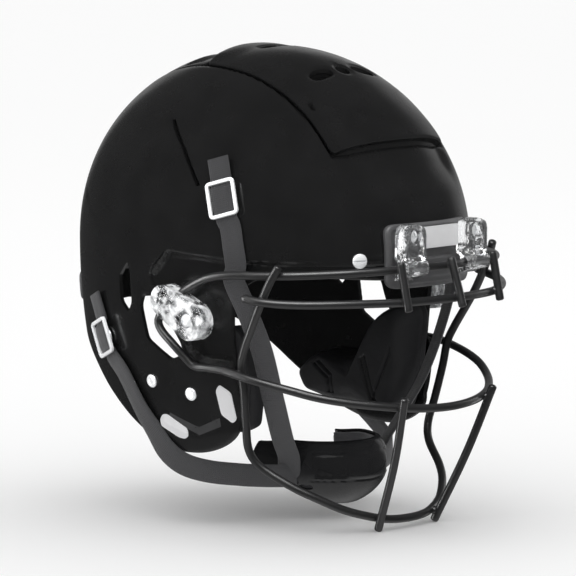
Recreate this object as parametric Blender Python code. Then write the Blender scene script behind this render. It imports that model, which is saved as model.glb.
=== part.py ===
"""American football helmet: hard shell with crown plates, wire face mask, pads and chin strap.

Lengths below are millimetres; the meshes are made in metres. +Z is up, the face looks along -Y
and the wearer's right is -X. Everything is symmetric about the plane X = 0.
"""
from math import cos, pi, radians, sin

import bpy
import numpy as np

MM = 0.001

# shell proportions: half width, front and back reach, crown height above the waist line
HALF_W = 118.0
FRONT_R = 146.0
BACK_R = 155.0
CROWN = 139.6
WAIST_Z = 50.0
WALL = 4.0
CENTRE = np.array([0.0, 0.0, 20.0])
POLE = np.array([0.0, 0.62, 0.78])

# wire and webbing
WIRE_D = 5.8
STRAP_W = 16.0
STRAP_T = 1.6

# face mask hinge line, through the two front clips
HINGE_Y = -157.0
HINGE_Z = 46.0
CLIP_X = 32.0

# the finished piece is moved by this much, so that the origin is under its middle
PLACE_Y = 9.5
PLACE_Z = 140.3

# lower edge of the shell from the middle of the brow to the middle of the nape
RIM = [(0, -146, 35), (40, -138, 36), (70, -119, 38), (92, -92, 39), (101, -76, 37), (106, -66, 31),
       (109, -59, 20), (109, -57, 2), (108, -58, -24), (105, -61, -46), (102, -61, -64),
       (101, -56, -77), (100, -44, -84), (99, -24, -87), (98, 0, -85), (97, 20, -79), (95, 40, -68),
       (91, 66, -50), (83, 92, -30), (66, 120, -13), (38, 145, -4), (0, 154, -2)]

EAR_HOLE = [(24, 13), (20, 22), (12, 21), (1, 13), (-15, -12), (-14, -19), (-3, -23), (19, -10)]
REAR_SLOT = [(37, 43), (47, 32), (46, 14), (38, 7), (33, 14), (34, 34)]
SIDE_SLOT = [(15, 143), (9, 138), (-6, 125), (-17, 113), (-28, 100), (-25, 99), (-14, 112), (-3, 123.5),
             (12, 136), (17, 141.5)]

BLACK = (0.018, 0.018, 0.019)


def clean():
    """Remove everything already in the scene."""
    for ob in list(bpy.data.objects):
        bpy.data.objects.remove(ob, do_unlink=True)


def material(name, colour, roughness, metallic=0.0, alpha=1.0):
    """A plain Principled material."""
    mat = bpy.data.materials.new(name)
    mat.use_nodes = True
    bsdf = mat.node_tree.nodes["Principled BSDF"]
    bsdf.inputs["Base Color"].default_value = (*colour, 1.0)
    bsdf.inputs["Roughness"].default_value = roughness
    bsdf.inputs["Metallic"].default_value = metallic
    bsdf.inputs["Alpha"].default_value = alpha
    mat.diffuse_color = (*colour, alpha)
    mat.roughness = roughness
    mat.metallic = metallic
    return mat


def mesh_object(name, verts, faces, mat):
    """Make an object from millimetre vertices."""
    me = bpy.data.meshes.new(name)
    me.from_pydata([tuple(float(c) * MM for c in v) for v in verts], [], faces)
    me.validate()
    me.update()
    me.materials.append(mat)
    ob = bpy.data.objects.new(name, me)
    bpy.context.scene.collection.objects.link(ob)
    return ob


def set_origin(ob, point):
    """Move the object's origin to a point (mm) and leave the mesh where it is."""
    p = [c * MM for c in point]
    for v in ob.data.vertices:
        v.co.x -= p[0]
        v.co.y -= p[1]
        v.co.z -= p[2]
    ob.location = p


def unit(v):
    """Normalise along the last axis."""
    v = np.asarray(v, float)
    return v / np.linalg.norm(v, axis=-1, keepdims=True)


def smooth(a, b, x):
    """Smooth step from 0 at a to 1 at b."""
    t = np.clip((np.asarray(x, float) - a) / (b - a), 0.0, 1.0)
    return t * t * (3.0 - 2.0 * t)


# ---------------------------------------------------------------- shell surface

def level(p):
    """Below zero inside the plain outer form of the shell, above zero outside it."""
    x, y, z = p[..., 0], p[..., 1], p[..., 2]
    rho = np.hypot(x, y) + 1e-9
    s, c = np.abs(x) / rho, y / rho
    reach = np.where(c < 0, FRONT_R, BACK_R)
    plan = ((s / HALF_W) ** 2.12 + (np.abs(c) / reach) ** 2.12) ** (-1 / 2.12)
    m = 1.99 + 0.12 * (1 + c) / 2
    h = np.clip((z - WAIST_Z) / CROWN, 0, 1)
    k = (1 - h ** m) ** (1 / m)
    low = np.clip((WAIST_Z - z) / 130.0, 0, 2)
    k = k * (1 - 0.13 * low ** 2)
    over = np.clip(z - WAIST_Z - CROWN, 0, None) / CROWN
    return rho / plan - k + over


def march(origin, direction, far):
    """Distance along each direction at which the outer form is crossed."""
    lo = np.zeros(len(direction))
    hi = np.full(len(direction), float(far))
    for _ in range(36):
        mid = (lo + hi) / 2
        inside = level(origin + direction * mid[:, None]) < 0
        lo = np.where(inside, mid, lo)
        hi = np.where(inside, hi, mid)
    return (lo + hi) / 2


def normals(p):
    """Outward unit normals of the plain form."""
    e = 0.05
    g = [level(p + np.eye(3)[i] * e) - level(p - np.eye(3)[i] * e) for i in range(3)]
    return unit(np.stack(g, -1))


def relief(p):
    """How far the moulded shell stands in or out of the plain form."""
    ax, y, z = np.abs(p[..., 0]), p[..., 1], p[..., 2]
    crown = (1 - smooth(60, 82, ax)) * smooth(96, 124, z) * (1 - smooth(110, 128, y))
    dip = -3.6 * crown
    ledge = (1 - smooth(44, 50, z)) * (1 - smooth(-9, 6, y)) * smooth(-26, -16, z)
    return dip - 3.2 * ledge


def from_centre(dirs, offset, moulded=True):
    """Points on the shell surface in the given directions, moved out by offset."""
    d = unit(dirs)
    p = CENTRE + d * march(CENTRE, d, 320.0)[:, None]
    n = normals(p)
    extra = relief(p) if moulded else 0.0
    return p + n * (np.zeros(len(p)) + offset + extra)[:, None]


def onto(axis, side, a, b, offset, base=0.0):
    """Points above the plain form with two coordinates given.

    axis 'x' takes (y, z), axis 'y' takes (x, z), axis 'z' takes (x, y).
    """
    a, b = np.asarray(a, float).ravel(), np.asarray(b, float).ravel()
    z0 = np.zeros_like(a) + base
    start = {"x": (z0, a, b), "y": (a, z0, b), "z": (a, b, z0 + 60.0)}[axis]
    start = np.stack(start, -1)
    d = np.zeros_like(start)
    d[:, "xyz".index(axis)] = side
    p = start + d * march(start, d, 260.0)[:, None]
    return p + normals(p) * (np.zeros(len(p)) + offset)[:, None]


def resample(points, count, closed=False):
    """Even steps along a Catmull-Rom curve through the points."""
    pts = np.asarray(points, float)
    n = len(pts)
    out = []
    for i in range(n if closed else n - 1):
        p1, p2 = pts[i], pts[(i + 1) % n]
        p0 = pts[i - 1] if (closed or i > 0) else 2 * p1 - p2
        p3 = pts[(i + 2) % n] if (closed or i + 2 < n) else 2 * p2 - p1
        for t in np.linspace(0, 1, 16, endpoint=False):
            a = 2 * p1 + (p2 - p0) * t + (2 * p0 - 5 * p1 + 4 * p2 - p3) * t * t
            out.append((a + (3 * p1 - p0 - 3 * p2 + p3) * t ** 3) / 2)
    out.append(pts[0] if closed else pts[-1])
    out = np.array(out)
    run = np.concatenate([[0], np.cumsum(np.linalg.norm(np.diff(out, axis=0), axis=1))])
    at = np.linspace(0, run[-1], count + 1)
    res = np.stack([np.interp(at, run, out[:, k]) for k in range(3)], -1)
    return res[:-1] if closed else res


def rim_directions(half):
    """Directions of the lower edge, all the way round, starting at the brow."""
    right = resample(RIM, half)
    left = right[1:-1][::-1] * np.array([-1, 1, 1])
    return unit(np.concatenate([right, left]) - CENTRE)


def shell_grid(half, rows, offset):
    """Rings of points from the pole to the rim."""
    rim = rim_directions(half)
    pole = unit(POLE)
    ang = np.arccos(np.clip(rim @ pole, -1, 1))
    rings = []
    for i in range(1, rows + 1):
        s = i / rows
        d = np.sin((1 - s) * ang)[:, None] * pole + np.sin(s * ang)[:, None] * rim
        rings.append(from_centre(d, offset))
    top = from_centre(pole[None], offset)
    return top, rings


def make_shell(mat):
    """The hard shell, a wall of even thickness open at the face and the neck."""
    half, rows = 34, 11
    n = 2 * half
    verts, faces = [], []
    start = []
    for offset in (0.0, -WALL):
        top, rings = shell_grid(half, rows, offset)
        start.append(len(verts))
        verts.extend(top)
        for ring in rings:
            verts.extend(ring)
    for part, s in enumerate(start):
        def face(*idx):
            faces.append(idx if part == 0 else idx[::-1])
        for j in range(n):
            k = (j + 1) % n
            face(s, s + 1 + j, s + 1 + k)
            for i in range(rows - 1):
                a, b = s + 1 + i * n, s + 1 + (i + 1) * n
                face(a + j, b + j, b + k, a + k)
    a, b = start[0] + 1 + (rows - 1) * n, start[1] + 1 + (rows - 1) * n
    for j in range(n):
        k = (j + 1) % n
        faces.append((a + j, b + j, b + k, a + k))
    ob = mesh_object("shell", verts, faces, mat)
    fix_facing(ob)
    return ob


def fix_facing(ob):
    """Turn the faces outward if the enclosed volume comes out negative."""
    me = ob.data
    vol = 0.0
    for poly in me.polygons:
        v = [me.vertices[i].co for i in poly.vertices]
        for i in range(1, len(v) - 1):
            vol += v[0].dot(v[i].cross(v[i + 1]))
    if vol < 0:
        me.flip_normals()


# ---------------------------------------------------------------- generic solids

def prism(name, profile, axis, lo, hi, mat):
    """A profile swept straight along an axis."""
    k = "xyz".index(axis)
    verts = []
    for end in (lo, hi):
        for a, b in profile:
            v = [a, b]
            v.insert(k, end)
            verts.append(v)
    n = len(profile)
    faces = [tuple(range(n))[::-1], tuple(range(n, 2 * n))]
    faces += [(i, (i + 1) % n, n + (i + 1) % n, n + i) for i in range(n)]
    ob = mesh_object(name, verts, faces, mat)
    fix_facing(ob)
    return ob


def slab(name, outer, inner, mat):
    """A closed sheet between two grids of points of the same size."""
    rows, cols = outer.shape[0], outer.shape[1]
    verts = list(outer.reshape(-1, 3)) + list(inner.reshape(-1, 3))
    off = rows * cols
    faces = []
    for i in range(rows - 1):
        for j in range(cols - 1):
            a, b = i * cols + j, (i + 1) * cols + j
            faces.append((a, a + 1, b + 1, b))
            faces.append((off + b, off + b + 1, off + a + 1, off + a))
    edge = [j for j in range(cols)] + [i * cols + cols - 1 for i in range(1, rows)]
    edge += [(rows - 1) * cols + j for j in range(cols - 2, -1, -1)]
    edge += [i * cols for i in range(rows - 2, 0, -1)]
    for i, a in enumerate(edge):
        b = edge[(i + 1) % len(edge)]
        faces.append((b, a, off + a, off + b))
    ob = mesh_object(name, verts, faces, mat)
    fix_facing(ob)
    return ob


def patch(name, axis, side, centre, half, roundness, lo, hi, cells, mat, bow=None):
    """A pad or plate that follows the shell, with rounded corners."""
    nu, nv = cells
    u, v = np.meshgrid(np.linspace(-1, 1, nu + 1), np.linspace(-1, 1, nv + 1))
    a = u * np.sqrt(1 - roundness * v * v / 2)
    b = v * np.sqrt(1 - roundness * u * u / 2)
    ca, cb = centre[0] + a * half[0], centre[1] + b * half[1]
    if bow:
        ca, cb = bow(ca, cb, a, b)
    grids = []
    for level_at, shrink in ((hi, 0.97), (lo, 1.0)):
        pa = ca.mean() + (ca - ca.mean()) * shrink
        pb = cb.mean() + (cb - cb.mean()) * shrink
        pts = onto(axis, side, pa, pb, level_at)
        grids.append(pts.reshape(nv + 1, nu + 1, 3))
    return slab(name, grids[0], grids[1], mat)


def tube(name, path, radius, sides, mat, closed=False):
    """A round wire along a path."""
    p = np.asarray(path, float)
    n = len(p)
    if closed:
        t = unit(np.roll(p, -1, 0) - np.roll(p, 1, 0))
    else:
        t = unit(np.gradient(p, axis=0))
    up = unit(np.cross(t[0], (0.3, 0.2, 0.93)))
    verts, faces = [], []
    for i in range(n):
        up = unit(up - t[i] * (up @ t[i]))
        side = np.cross(t[i], up)
        for k in range(sides):
            w = 2 * pi * (k + 0.5) / sides
            verts.append(p[i] + radius * (up * cos(w) + side * sin(w)))
    last = n if closed else n - 1
    shift = 0
    if closed:
        ring0 = np.array(verts[:sides])
        end = np.array(verts[-sides:])
        gap = [np.linalg.norm(end - np.roll(ring0, -s, 0), axis=1).sum() for s in range(sides)]
        shift = int(np.argmin(gap))
    for i in range(last):
        a, b = i * sides, ((i + 1) % n) * sides
        s = shift if (closed and i == n - 1) else 0
        for k in range(sides):
            m = (k + 1) % sides
            faces.append((a + k, a + m, b + (m + s) % sides, b + (k + s) % sides))
    if not closed:
        faces.append(tuple(range(sides))[::-1])
        faces.append(tuple(range((n - 1) * sides, n * sides)))
    ob = mesh_object(name, verts, faces, mat)
    fix_facing(ob)
    return ob


def ribbon(name, path, across, width, thick, mat):
    """Flat webbing along a path; across gives the width direction at each point."""
    p = np.asarray(path, float)
    t = unit(np.gradient(p, axis=0))
    w = np.asarray(across, float)
    w = unit(w - t * (w * t).sum(1)[:, None])
    n = np.cross(t, w)
    verts, faces = [], []
    for i in range(len(p)):
        for sw, sn in ((-1, -1), (1, -1), (1, 1), (-1, 1)):
            verts.append(p[i] + w[i] * sw * width / 2 + n[i] * sn * thick / 2)
    for i in range(len(p) - 1):
        a, b = 4 * i, 4 * i + 4
        for k in range(4):
            m = (k + 1) % 4
            faces.append((a + k, a + m, b + m, b + k))
    faces.append((3, 2, 1, 0))
    e = 4 * (len(p) - 1)
    faces.append((e, e + 1, e + 2, e + 3))
    ob = mesh_object(name, verts, faces, mat)
    fix_facing(ob)
    return ob


def turned(name, profile, centre, axis, sides, mat):
    """A turned solid; the profile is (radius, height) from the bottom centre to the top centre."""
    ax = unit(axis)
    u = unit(np.cross(ax, (0.21, 0.13, 0.97)))
    v = np.cross(ax, u)
    c = np.asarray(centre, float)
    verts = [c + ax * profile[0][1], c + ax * profile[-1][1]]
    faces = []
    mid = profile[1:-1]
    for r, h in mid:
        for k in range(sides):
            w = 2 * pi * k / sides
            verts.append(c + ax * h + r * (u * cos(w) + v * sin(w)))
    for k in range(sides):
        m = (k + 1) % sides
        faces.append((0, 2 + m, 2 + k))
        e = 2 + (len(mid) - 1) * sides
        faces.append((1, e + k, e + m))
        for i in range(len(mid) - 1):
            a, b = 2 + i * sides, 2 + (i + 1) * sides
            faces.append((a + k, a + m, b + m, b + k))
    ob = mesh_object(name, verts, faces, mat)
    fix_facing(ob)
    return ob


def cut(target, cutter, operation="DIFFERENCE"):
    """Add an exact Boolean and hide the other solid."""
    mod = target.modifiers.new(cutter.name, "BOOLEAN")
    mod.operation = operation
    mod.solver = "EXACT"
    mod.object = cutter
    cutter.hide_render = True
    cutter.display_type = "WIRE"
    return mod


def mirror_pts(points):
    """The same points on the other side of the plane X = 0."""
    return np.asarray(points, float) * np.array([-1.0, 1.0, 1.0])


# ---------------------------------------------------------------- sub-parts

def crown_half_width(y):
    """Half width of the crown plates along the head."""
    return np.interp(y, [-105, -78, -47, -24, 0, 20, 50, 75, 98],
                     [57.5, 56, 54.5, 52.5, 50.5, 47.5, 42.5, 36.5, 28.5])


def crown_plate(name, y0, y1, bow, lo, hi, cells, mat):
    """A plate over the crown between two lines across the head."""
    nu, nv = cells
    u, v = np.meshgrid(np.linspace(-1, 1, nu + 1), np.linspace(0, 1, nv + 1))
    y = y0 + (y1 - y0) * v
    x = u * crown_half_width(y)
    y = y + bow[0] * (1 - v) * (1 - u * u) + bow[1] * v * (1 - u * u)
    grids = []
    for offset, shrink in ((hi, 0.975), (lo, 1.0)):
        off = offset + np.zeros(x.size)
        pts = onto("z", 1, x * shrink, y, off)
        grids.append(pts.reshape(nv + 1, nu + 1, 3))
    return slab(name, grids[0], grids[1], mat)


def vent_cutters(mat):
    """Cutters for the crown vents and the side openings."""
    def oval(cx, cy, rx, ry):
        return [(cx + rx * cos(2 * pi * k / 12), cy + ry * sin(2 * pi * k / 12)) for k in range(12)]

    crown = [prism("cut_vent_mid", oval(0, -62.5, 5, 5), "z", 150, 200, mat),
             prism("cut_vent_R", oval(-21, -61.5, 10, 5.2), "z", 150, 200, mat),
             prism("cut_vent_L", oval(21, -61.5, 10, 5.2), "z", 150, 200, mat),
             prism("cut_vent_top", oval(0, 1, 15, 5), "z", 150, 200, mat)]
    sides = [prism("cut_ear", EAR_HOLE, "x", -140, 140, mat),
             prism("cut_rear_slot", REAR_SLOT, "x", -140, 140, mat),
             prism("cut_side_slot", SIDE_SLOT, "x", -140, 140, mat)]
    return crown, sides


def mask_paths():
    """Centre lines of every wire of the face mask."""
    y, z = HINGE_Y, HINGE_Z
    half = [(0, y - 3, z), (12, y - 2.4, z), (20, y - 0.4, z), (26, y, z), (40, y, z), (46, y + 0.8, z),
            (62, y + 8, z - 0.6), (82, -134, z - 1.6), (102, -112, z - 2.8), (114, -90, z - 3.6),
            (121, -68, 41.8), (124, -50, 38.5), (125, -34, 31.5), (125, -21, 22.5), (125, -10, 13.5),
            (125, -4, 6), (125, -7, -1), (124, -16, -9), (120, -25, -19), (117.5, -31, -24.5),
            (116, -42, -25), (114, -56, -26), (110, -80, -31), (101, -102, -36), (88, -121, -41.5),
            (71, -138, -45.5), (51, -152, -48.5), (27, -161, -51), (0, -164, -52)]
    loop = np.array(half + [(-a, b, c) for a, b, c in half[1:-1][::-1]], float)
    lower = [(112.2, -105.4, 49), (115, -98.6, 36), (115, -86, 12), (111, -71, -14), (107.5, -67, -26),
             (104, -66, -42), (99, -63, -65), (94, -61, -83), (88, -67, -95), (77, -86, -108),
             (66, -99, -116), (52, -110, -124), (38, -118, -129), (20, -124, -133), (0, -126, -134)]
    lower = np.array(lower + [(-a, b, c) for a, b, c in lower[:-1][::-1]], float)
    brow = [(122, -83, 27), (118.5, -97, 25), (107, -116, 24), (87, -136, 24), (66, -151, 24),
            (46, -161.5, 24), (24, -166.5, 24), (0, -168, 24)]
    brow = np.array(brow + [(-a, b, c) for a, b, c in brow[:-1][::-1]], float)
    bars = []
    for x, top, low in ((-48, y - 3.4, -167.4), (0, y - 7.2, -174.6), (48, y - 3.4, -167.4)):
        bars.append(np.array([(x, top, z + 4.5), (x, low, 19)], float))
    for s in (-1, 1):
        bars.append(np.array([(s * 46.5, -162.6, -43), (s * 38, -146, -90), (s * 29.5, -123.7, -139)],
                             float))
    return loop, lower, brow, bars


def make_mask(mat):
    """The wire face mask, all wires united where they are welded."""
    loop, lower, brow, bars = mask_paths()
    r = WIRE_D / 2
    ob = tube("face_mask", resample(loop, 80, closed=True), r, 8, mat, closed=True)
    others = [tube("wire_lower", resample(lower, 46), r, 8, mat),
              tube("wire_brow", resample(brow, 26), r, 8, mat)]
    for i, b in enumerate(bars):
        others.append(tube("wire_bar_%d" % i, resample(b, 4 if i > 2 else 2), r, 8, mat))
    for o in others:
        cut(ob, o, "UNION")
    set_origin(ob, (0, HINGE_Y, HINGE_Z))
    return ob


def front_clip(s, mat):
    """Clear clip: a screwed plate above and a hook round the brow wire."""
    y, z = HINGE_Y, HINGE_Z
    inner, outer = WIRE_D / 2 + 0.8, WIRE_D / 2 + 3.0
    back = -149.9
    prof = [(back, 76), (back, z + 6.6), (y + inner, z + 3.0)]
    for k in range(0, 9):
        w = radians(30 + k * 30)
        prof.append((y + inner * cos(w), z + inner * sin(w)))
    prof += [(y + inner, z - 3.6), (back, z - 4.2), (back, z - 8.4), (y + 2.0, z - outer)]
    for k in range(0, 7):
        w = radians(-90 - k * 25)
        prof.append((y + outer * cos(w), z + outer * sin(w)))
    prof += [(back - 10.2, z + 10.5), (back - 10.2, 73.6), (back - 8.0, 76)]
    name = "front_clip_" + ("R" if s < 0 else "L")
    return prism(name, prof, "x", s * CLIP_X - 10.5, s * CLIP_X + 10.5, mat)


def side_clip(s, mat):
    """Clear clip over the rear bend of the mask, with a boss for its screw."""
    name = "side_clip_" + ("R" if s < 0 else "L")
    a, b = np.array([-15.0, 21.0]), np.array([-40.0, 8.0])
    d = unit(b - a)
    n = np.array([-d[1], d[0]])
    prof = []
    for k in range(7):
        w = radians(90 + k * 30)
        prof.append(tuple(a + 11 * (d * cos(w) + n * sin(w))))
    for k in range(7):
        w = radians(-90 + k * 30)
        prof.append(tuple(b + 13 * (d * cos(w) + n * sin(w))))
    lo, hi = sorted((s * 128.5, s * 132.5))
    ob = prism(name, prof, "x", lo, hi, mat)
    boss = [(-38 + 7.5 * cos(2 * pi * k / 12), 9 + 7.5 * sin(2 * pi * k / 12)) for k in range(12)]
    lo, hi = sorted((s * 119.2, s * 130.0))
    cut(ob, prism("boss_" + name, boss, "x", lo, hi, mat), "UNION")
    return ob


def make_buckle(name, centre, along, mats):
    """A webbing buckle: wire frame above a snap socket, on the shell at centre."""
    c = np.asarray(centre, float)
    n = normals(c[None])[0]
    t = unit(along - n * (along @ n))
    w = np.cross(n, t)
    frame = []
    hl, hw, rc = 12.0, 9.9, 3.5
    for cx, cy, a0 in ((hl - rc, hw - rc, 0), (-hl + rc, hw - rc, 90), (-hl + rc, -hw + rc, 180),
                       (hl - rc, -hw + rc, 270)):
        for k in range(4):
            a = radians(a0 + 30 * k)
            frame.append(c + t * (cx + rc * cos(a)) + w * (cy + rc * sin(a)) + n * 5.4)
    ob = tube("buckle_frame_" + name, frame, 1.35, 6, mats["chrome"], closed=True)
    set_origin(ob, c + t * hl + n * 5.4)
    sock = turned("snap_socket_" + name, [(0, 0.9), (6.0, 0.9), (6.4, 1.6), (6.0, 3.2), (0, 3.2)],
                  c, n, 12, mats["chrome"])
    return ob, sock, (c, n, t, w)


def strap_through(frame, lead, tail):
    """Path and width directions of webbing through a buckle, from the free end downwards."""
    c, n, t, w = frame
    steps = [(lead, 1.9), (14.5, 1.9), (11.5, 2.0), (7.5, 4.6), (0, 4.9), (-7.5, 4.6), (-11.5, 2.0),
             (-15, 1.9)]
    pts = [c + t * s + n * h for s, h in steps] + [np.asarray(p, float) for p in tail]
    return pts, w


def make_cup(mat, mat_soft):
    """Chin cup: hard outer cup and a soft liner inside it."""
    def grid(rx, ry, rz, nu, nv):
        psi = np.linspace(-100, 100, nu + 1)
        v = np.linspace(0, 1, nv + 1)
        P, V = np.meshgrid(np.radians(psi), v)
        top = np.radians(24 + 4 * np.cos(P))
        bot = np.radians(-16 - 42 * np.clip(np.cos(P), 0, 1) ** 0.7)
        E = bot + (top - bot) * V
        x = rx * np.sin(P) * np.cos(E)
        y = -50 - ry * np.cos(P) * np.cos(E)
        z = -106 + rz * np.sin(E)
        return np.stack([x, y, z], -1)

    cup = slab("chin_cup", grid(45, 46, 32, 16, 6), grid(42.2, 43.2, 29.2, 16, 6), mat)
    liner = slab("chin_cup_liner", grid(41.6, 42.6, 28.6, 14, 5), grid(35, 36, 22.5, 14, 5), mat_soft)
    return cup, liner


def jaw_pad(s, mat):
    """Thick jaw pad inside the cheek of the shell."""
    yz = [(-55, -4), (-44, 5), (-22, 4), (-19, -30), (-22, -62), (-34, -74), (-52, -72), (-56, -40)]
    grid_o, grid_i = [], []
    cy = sum(p[0] for p in yz) / len(yz)
    cz = sum(p[1] for p in yz) / len(yz)
    y = np.array([p[0] for p in yz])
    z = np.array([p[1] for p in yz])
    outer = onto("x", s, y, z, -9.0)
    x_in = np.full(len(yz), s * 66.0)
    inner = np.stack([x_in, cy + (y - cy) * 0.78, cz + (z - cz) * 0.82], -1)
    mid = outer * 0.45 + inner * 0.55
    mid[:, 1:] = outer[:, 1:]
    n = len(yz)
    verts = list(outer) + list(mid) + list(inner)
    faces = [tuple(range(n)), tuple(range(2 * n, 3 * n))[::-1]]
    for r in (0, n):
        faces += [(r + i, r + n + i, r + n + (i + 1) % n, r + (i + 1) % n) for i in range(n)]
    ob = mesh_object("jaw_pad_" + ("R" if s < 0 else "L"), verts, faces, mat)
    fix_facing(ob)
    set_origin(ob, (s * 82.0, cy, cz))
    return ob


def build():
    """Make every piece."""
    clean()
    mats = {
        "shell": material("gloss_black_shell", BLACK, 0.18),
        "plate": material("gloss_black_plate", (0.02, 0.02, 0.021), 0.18),
        "wire": material("coated_wire", (0.012, 0.012, 0.012), 0.22),
        "rubber": material("dark_rubber", (0.05, 0.05, 0.052), 0.55),
        "chrome": material("bright_metal", (0.75, 0.76, 0.78), 0.16, 1.0),
        "label": material("silver_label", (0.72, 0.72, 0.73), 0.35, 0.6),
        "clear": material("clear_plastic", (0.85, 0.87, 0.88), 0.08, 0.0, 0.35),
        "pad": material("pad_skin", (0.045, 0.045, 0.048), 0.6),
        "foam": material("comfort_foam", (0.11, 0.11, 0.12), 0.85),
        "web": material("grey_webbing", (0.33, 0.34, 0.36), 0.8),
        "cup": material("gloss_black_cup", (0.022, 0.022, 0.023), 0.2),
    }
    crown_cuts, side_cuts = vent_cutters(mats["shell"])
    shell = make_shell(mats["shell"])
    for c in crown_cuts + side_cuts:
        cut(shell, c)
    front = crown_plate("front_crown_plate", -104, 24, (-15, 0), -2.6, 0.0, (12, 12), mats["plate"])
    for c in crown_cuts:
        cut(front, c)
    crown_plate("rear_crown_plate", 27, 98, (0, 7), -2.6, -0.6, (10, 8), mats["plate"])

    patch("front_bumper", "y", -1, (0, 53), (41, 22), 0.12, 0.7, 5.2, (14, 6), mats["rubber"])
    patch("rear_bumper", "y", 1, (0, 13), (60, 10), 0.25, 0.9, 3.4, (16, 3), mats["rubber"])
    prism("nameplate", [(-19, 58), (19, 58), (19.6, 58.6), (19.6, 72.4), (19, 73), (-19, 73),
                        (-19.6, 72.4), (-19.6, 58.6)], "y", -153.6, -152.0, mats["label"])

    make_mask(mats["wire"])
    for s in (-1, 1):
        tag = "R" if s < 0 else "L"
        front_clip(s, mats["clear"])
        side_clip(s, mats["clear"])
        screw = [(0, 0), (3.6, 0), (3.9, 1.0), (2.6, 2.2), (0, 2.2)]
        turned("front_clip_screw_" + tag, screw, (s * CLIP_X, -160.5, 68), (0, -1, 0), 12,
               mats["chrome"])
        turned("side_clip_screw_" + tag, screw, (s * 132.9, -38, 9), (s, 0, 0), 12, mats["chrome"])
        p = onto("y", -1, [s * 57.0], [51.0], 0.8)[0]
        turned("brow_screw_" + tag, [(0, 0), (5.2, 0), (5.2, 0.8), (3.4, 2.0), (0, 2.0)], p,
               normals(p[None])[0], 12, mats["chrome"])
        for place, y, z in (("rear", 16.5, -40), ("front", -20, -46)):
            p = onto("x", s, [y], [z], 0.7)[0]
            turned("jaw_snap_%s_%s" % (place, tag), [(0, 0), (4.7, 0), (4.7, 0.6), (3.4, 1.3), (0, 1.3)],
                   p, normals(p[None])[0], 12, mats["chrome"])
        patch("jaw_label_" + tag, "x", s, (-47.2, -52.8), (8.5, 13.5), 0.5, 0.5, 0.9, (2, 4), mats["label"])
        patch("side_label_" + tag, "x", s, (1, -72.5), (14, 5), 0.9, 0.5, 0.9, (4, 2), mats["label"],
              lambda ca, cb, a, b: (ca, cb + 0.35 * (ca - 1)))
        jaw_pad(s, mats["pad"])
        patch("side_pad_" + tag, "x", s, (0, 76), (42, 34), 0.5, -9.0, -27.0, (8, 6), mats["pad"])

        c = onto("x", s, [-50.5], [91.5], 0.0)[0]
        up = unit(np.array([s * -0.25, 0.40, 1.0]))
        _, _, fr = make_buckle("upper_" + tag, c, up, mats)
        q1 = onto("x", s, [-58, -61, -63], [73, 60, 47], 1.9)
        tail = [*q1, (s * 112, -64, 37), (s * 106.5, -71, 16), (s * 94, -73, -12), (s * 78, -69, -48),
                (s * 60, -61, -78), (s * 50.5, -58, -92)]
        pts, w = strap_through(fr, 30.0, tail)
        path = resample(pts, 34)
        ribbon("upper_strap_" + tag, path, np.tile(w, (len(path), 1)), STRAP_W, STRAP_T, mats["web"])

        c = onto("x", s, [64], [-13], 0.0)[0]
        up = unit(np.array([0.0, 0.42, 1.0]))
        _, _, fr = make_buckle("lower_" + tag, c, up, mats)
        q1 = onto("x", s, [44, 30, 19], [-37, -59, -74], 3.4)
        tail = [*q1, (s * 107.5, 5, -88.5), (s * 104.5, -9, -97), (s * 95.5, -24, -101.5),
                (s * 80, -38, -104), (s * 66, -47, -105.5), (s * 52.5, -52, -106)]
        pts, w = strap_through(fr, 26.0, tail)
        path = resample(pts, 34)
        t = unit(np.gradient(path, axis=0))
        frac = smooth(0.35, 0.75, np.linspace(0, 1, len(path)))[:, None]
        out = normals(path) * (1 - frac) + frac * np.array([s * 0.75, -0.65, 0.05])
        across = np.cross(out, t)
        ribbon("lower_strap_" + tag, path, across, STRAP_W, STRAP_T, mats["web"])

    patch("crown_pad", "z", 1, (0, 5), (44, 52), 0.8, -9.0, -27.0, (8, 8), mats["pad"])
    patch("front_pad", "y", -1, (0, 78), (62, 30), 0.4, -9.0, -25.0, (12, 5), mats["pad"])
    patch("rear_pad", "y", 1, (0, 60), (58, 40), 0.4, -9.0, -27.0, (12, 6), mats["pad"])
    make_cup(mats["cup"], mats["foam"])
    for ob in bpy.data.objects:
        ob.location.y += PLACE_Y * MM
        ob.location.z += PLACE_Z * MM


build()
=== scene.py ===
"""Looks of the football helmet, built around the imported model.

Lengths are millimetres in the helmet's own frame (X = 0 is its plane of symmetry, the face looks
along -Y) until a mesh is made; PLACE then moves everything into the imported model's frame.
"""
from math import cos, pi, radians, sin

import bpy
import numpy as np
from mathutils import Matrix, Vector


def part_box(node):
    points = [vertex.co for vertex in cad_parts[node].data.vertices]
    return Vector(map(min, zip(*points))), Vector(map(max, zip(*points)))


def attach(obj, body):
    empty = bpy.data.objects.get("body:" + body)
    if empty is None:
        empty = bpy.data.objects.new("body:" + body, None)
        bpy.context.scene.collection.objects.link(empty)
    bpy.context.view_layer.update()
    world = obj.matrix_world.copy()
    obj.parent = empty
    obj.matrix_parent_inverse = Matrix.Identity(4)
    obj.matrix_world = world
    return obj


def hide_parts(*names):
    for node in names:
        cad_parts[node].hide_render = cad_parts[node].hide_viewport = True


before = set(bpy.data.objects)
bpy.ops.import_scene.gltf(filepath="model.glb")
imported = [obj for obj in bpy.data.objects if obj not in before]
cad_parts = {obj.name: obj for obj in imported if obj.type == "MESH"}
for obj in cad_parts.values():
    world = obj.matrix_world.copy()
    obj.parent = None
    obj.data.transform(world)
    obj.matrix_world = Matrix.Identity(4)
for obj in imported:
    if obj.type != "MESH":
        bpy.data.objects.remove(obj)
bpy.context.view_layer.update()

MM = 0.001
HALF_W, FRONT_R, BACK_R = 118.0, 146.0, 155.0
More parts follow.
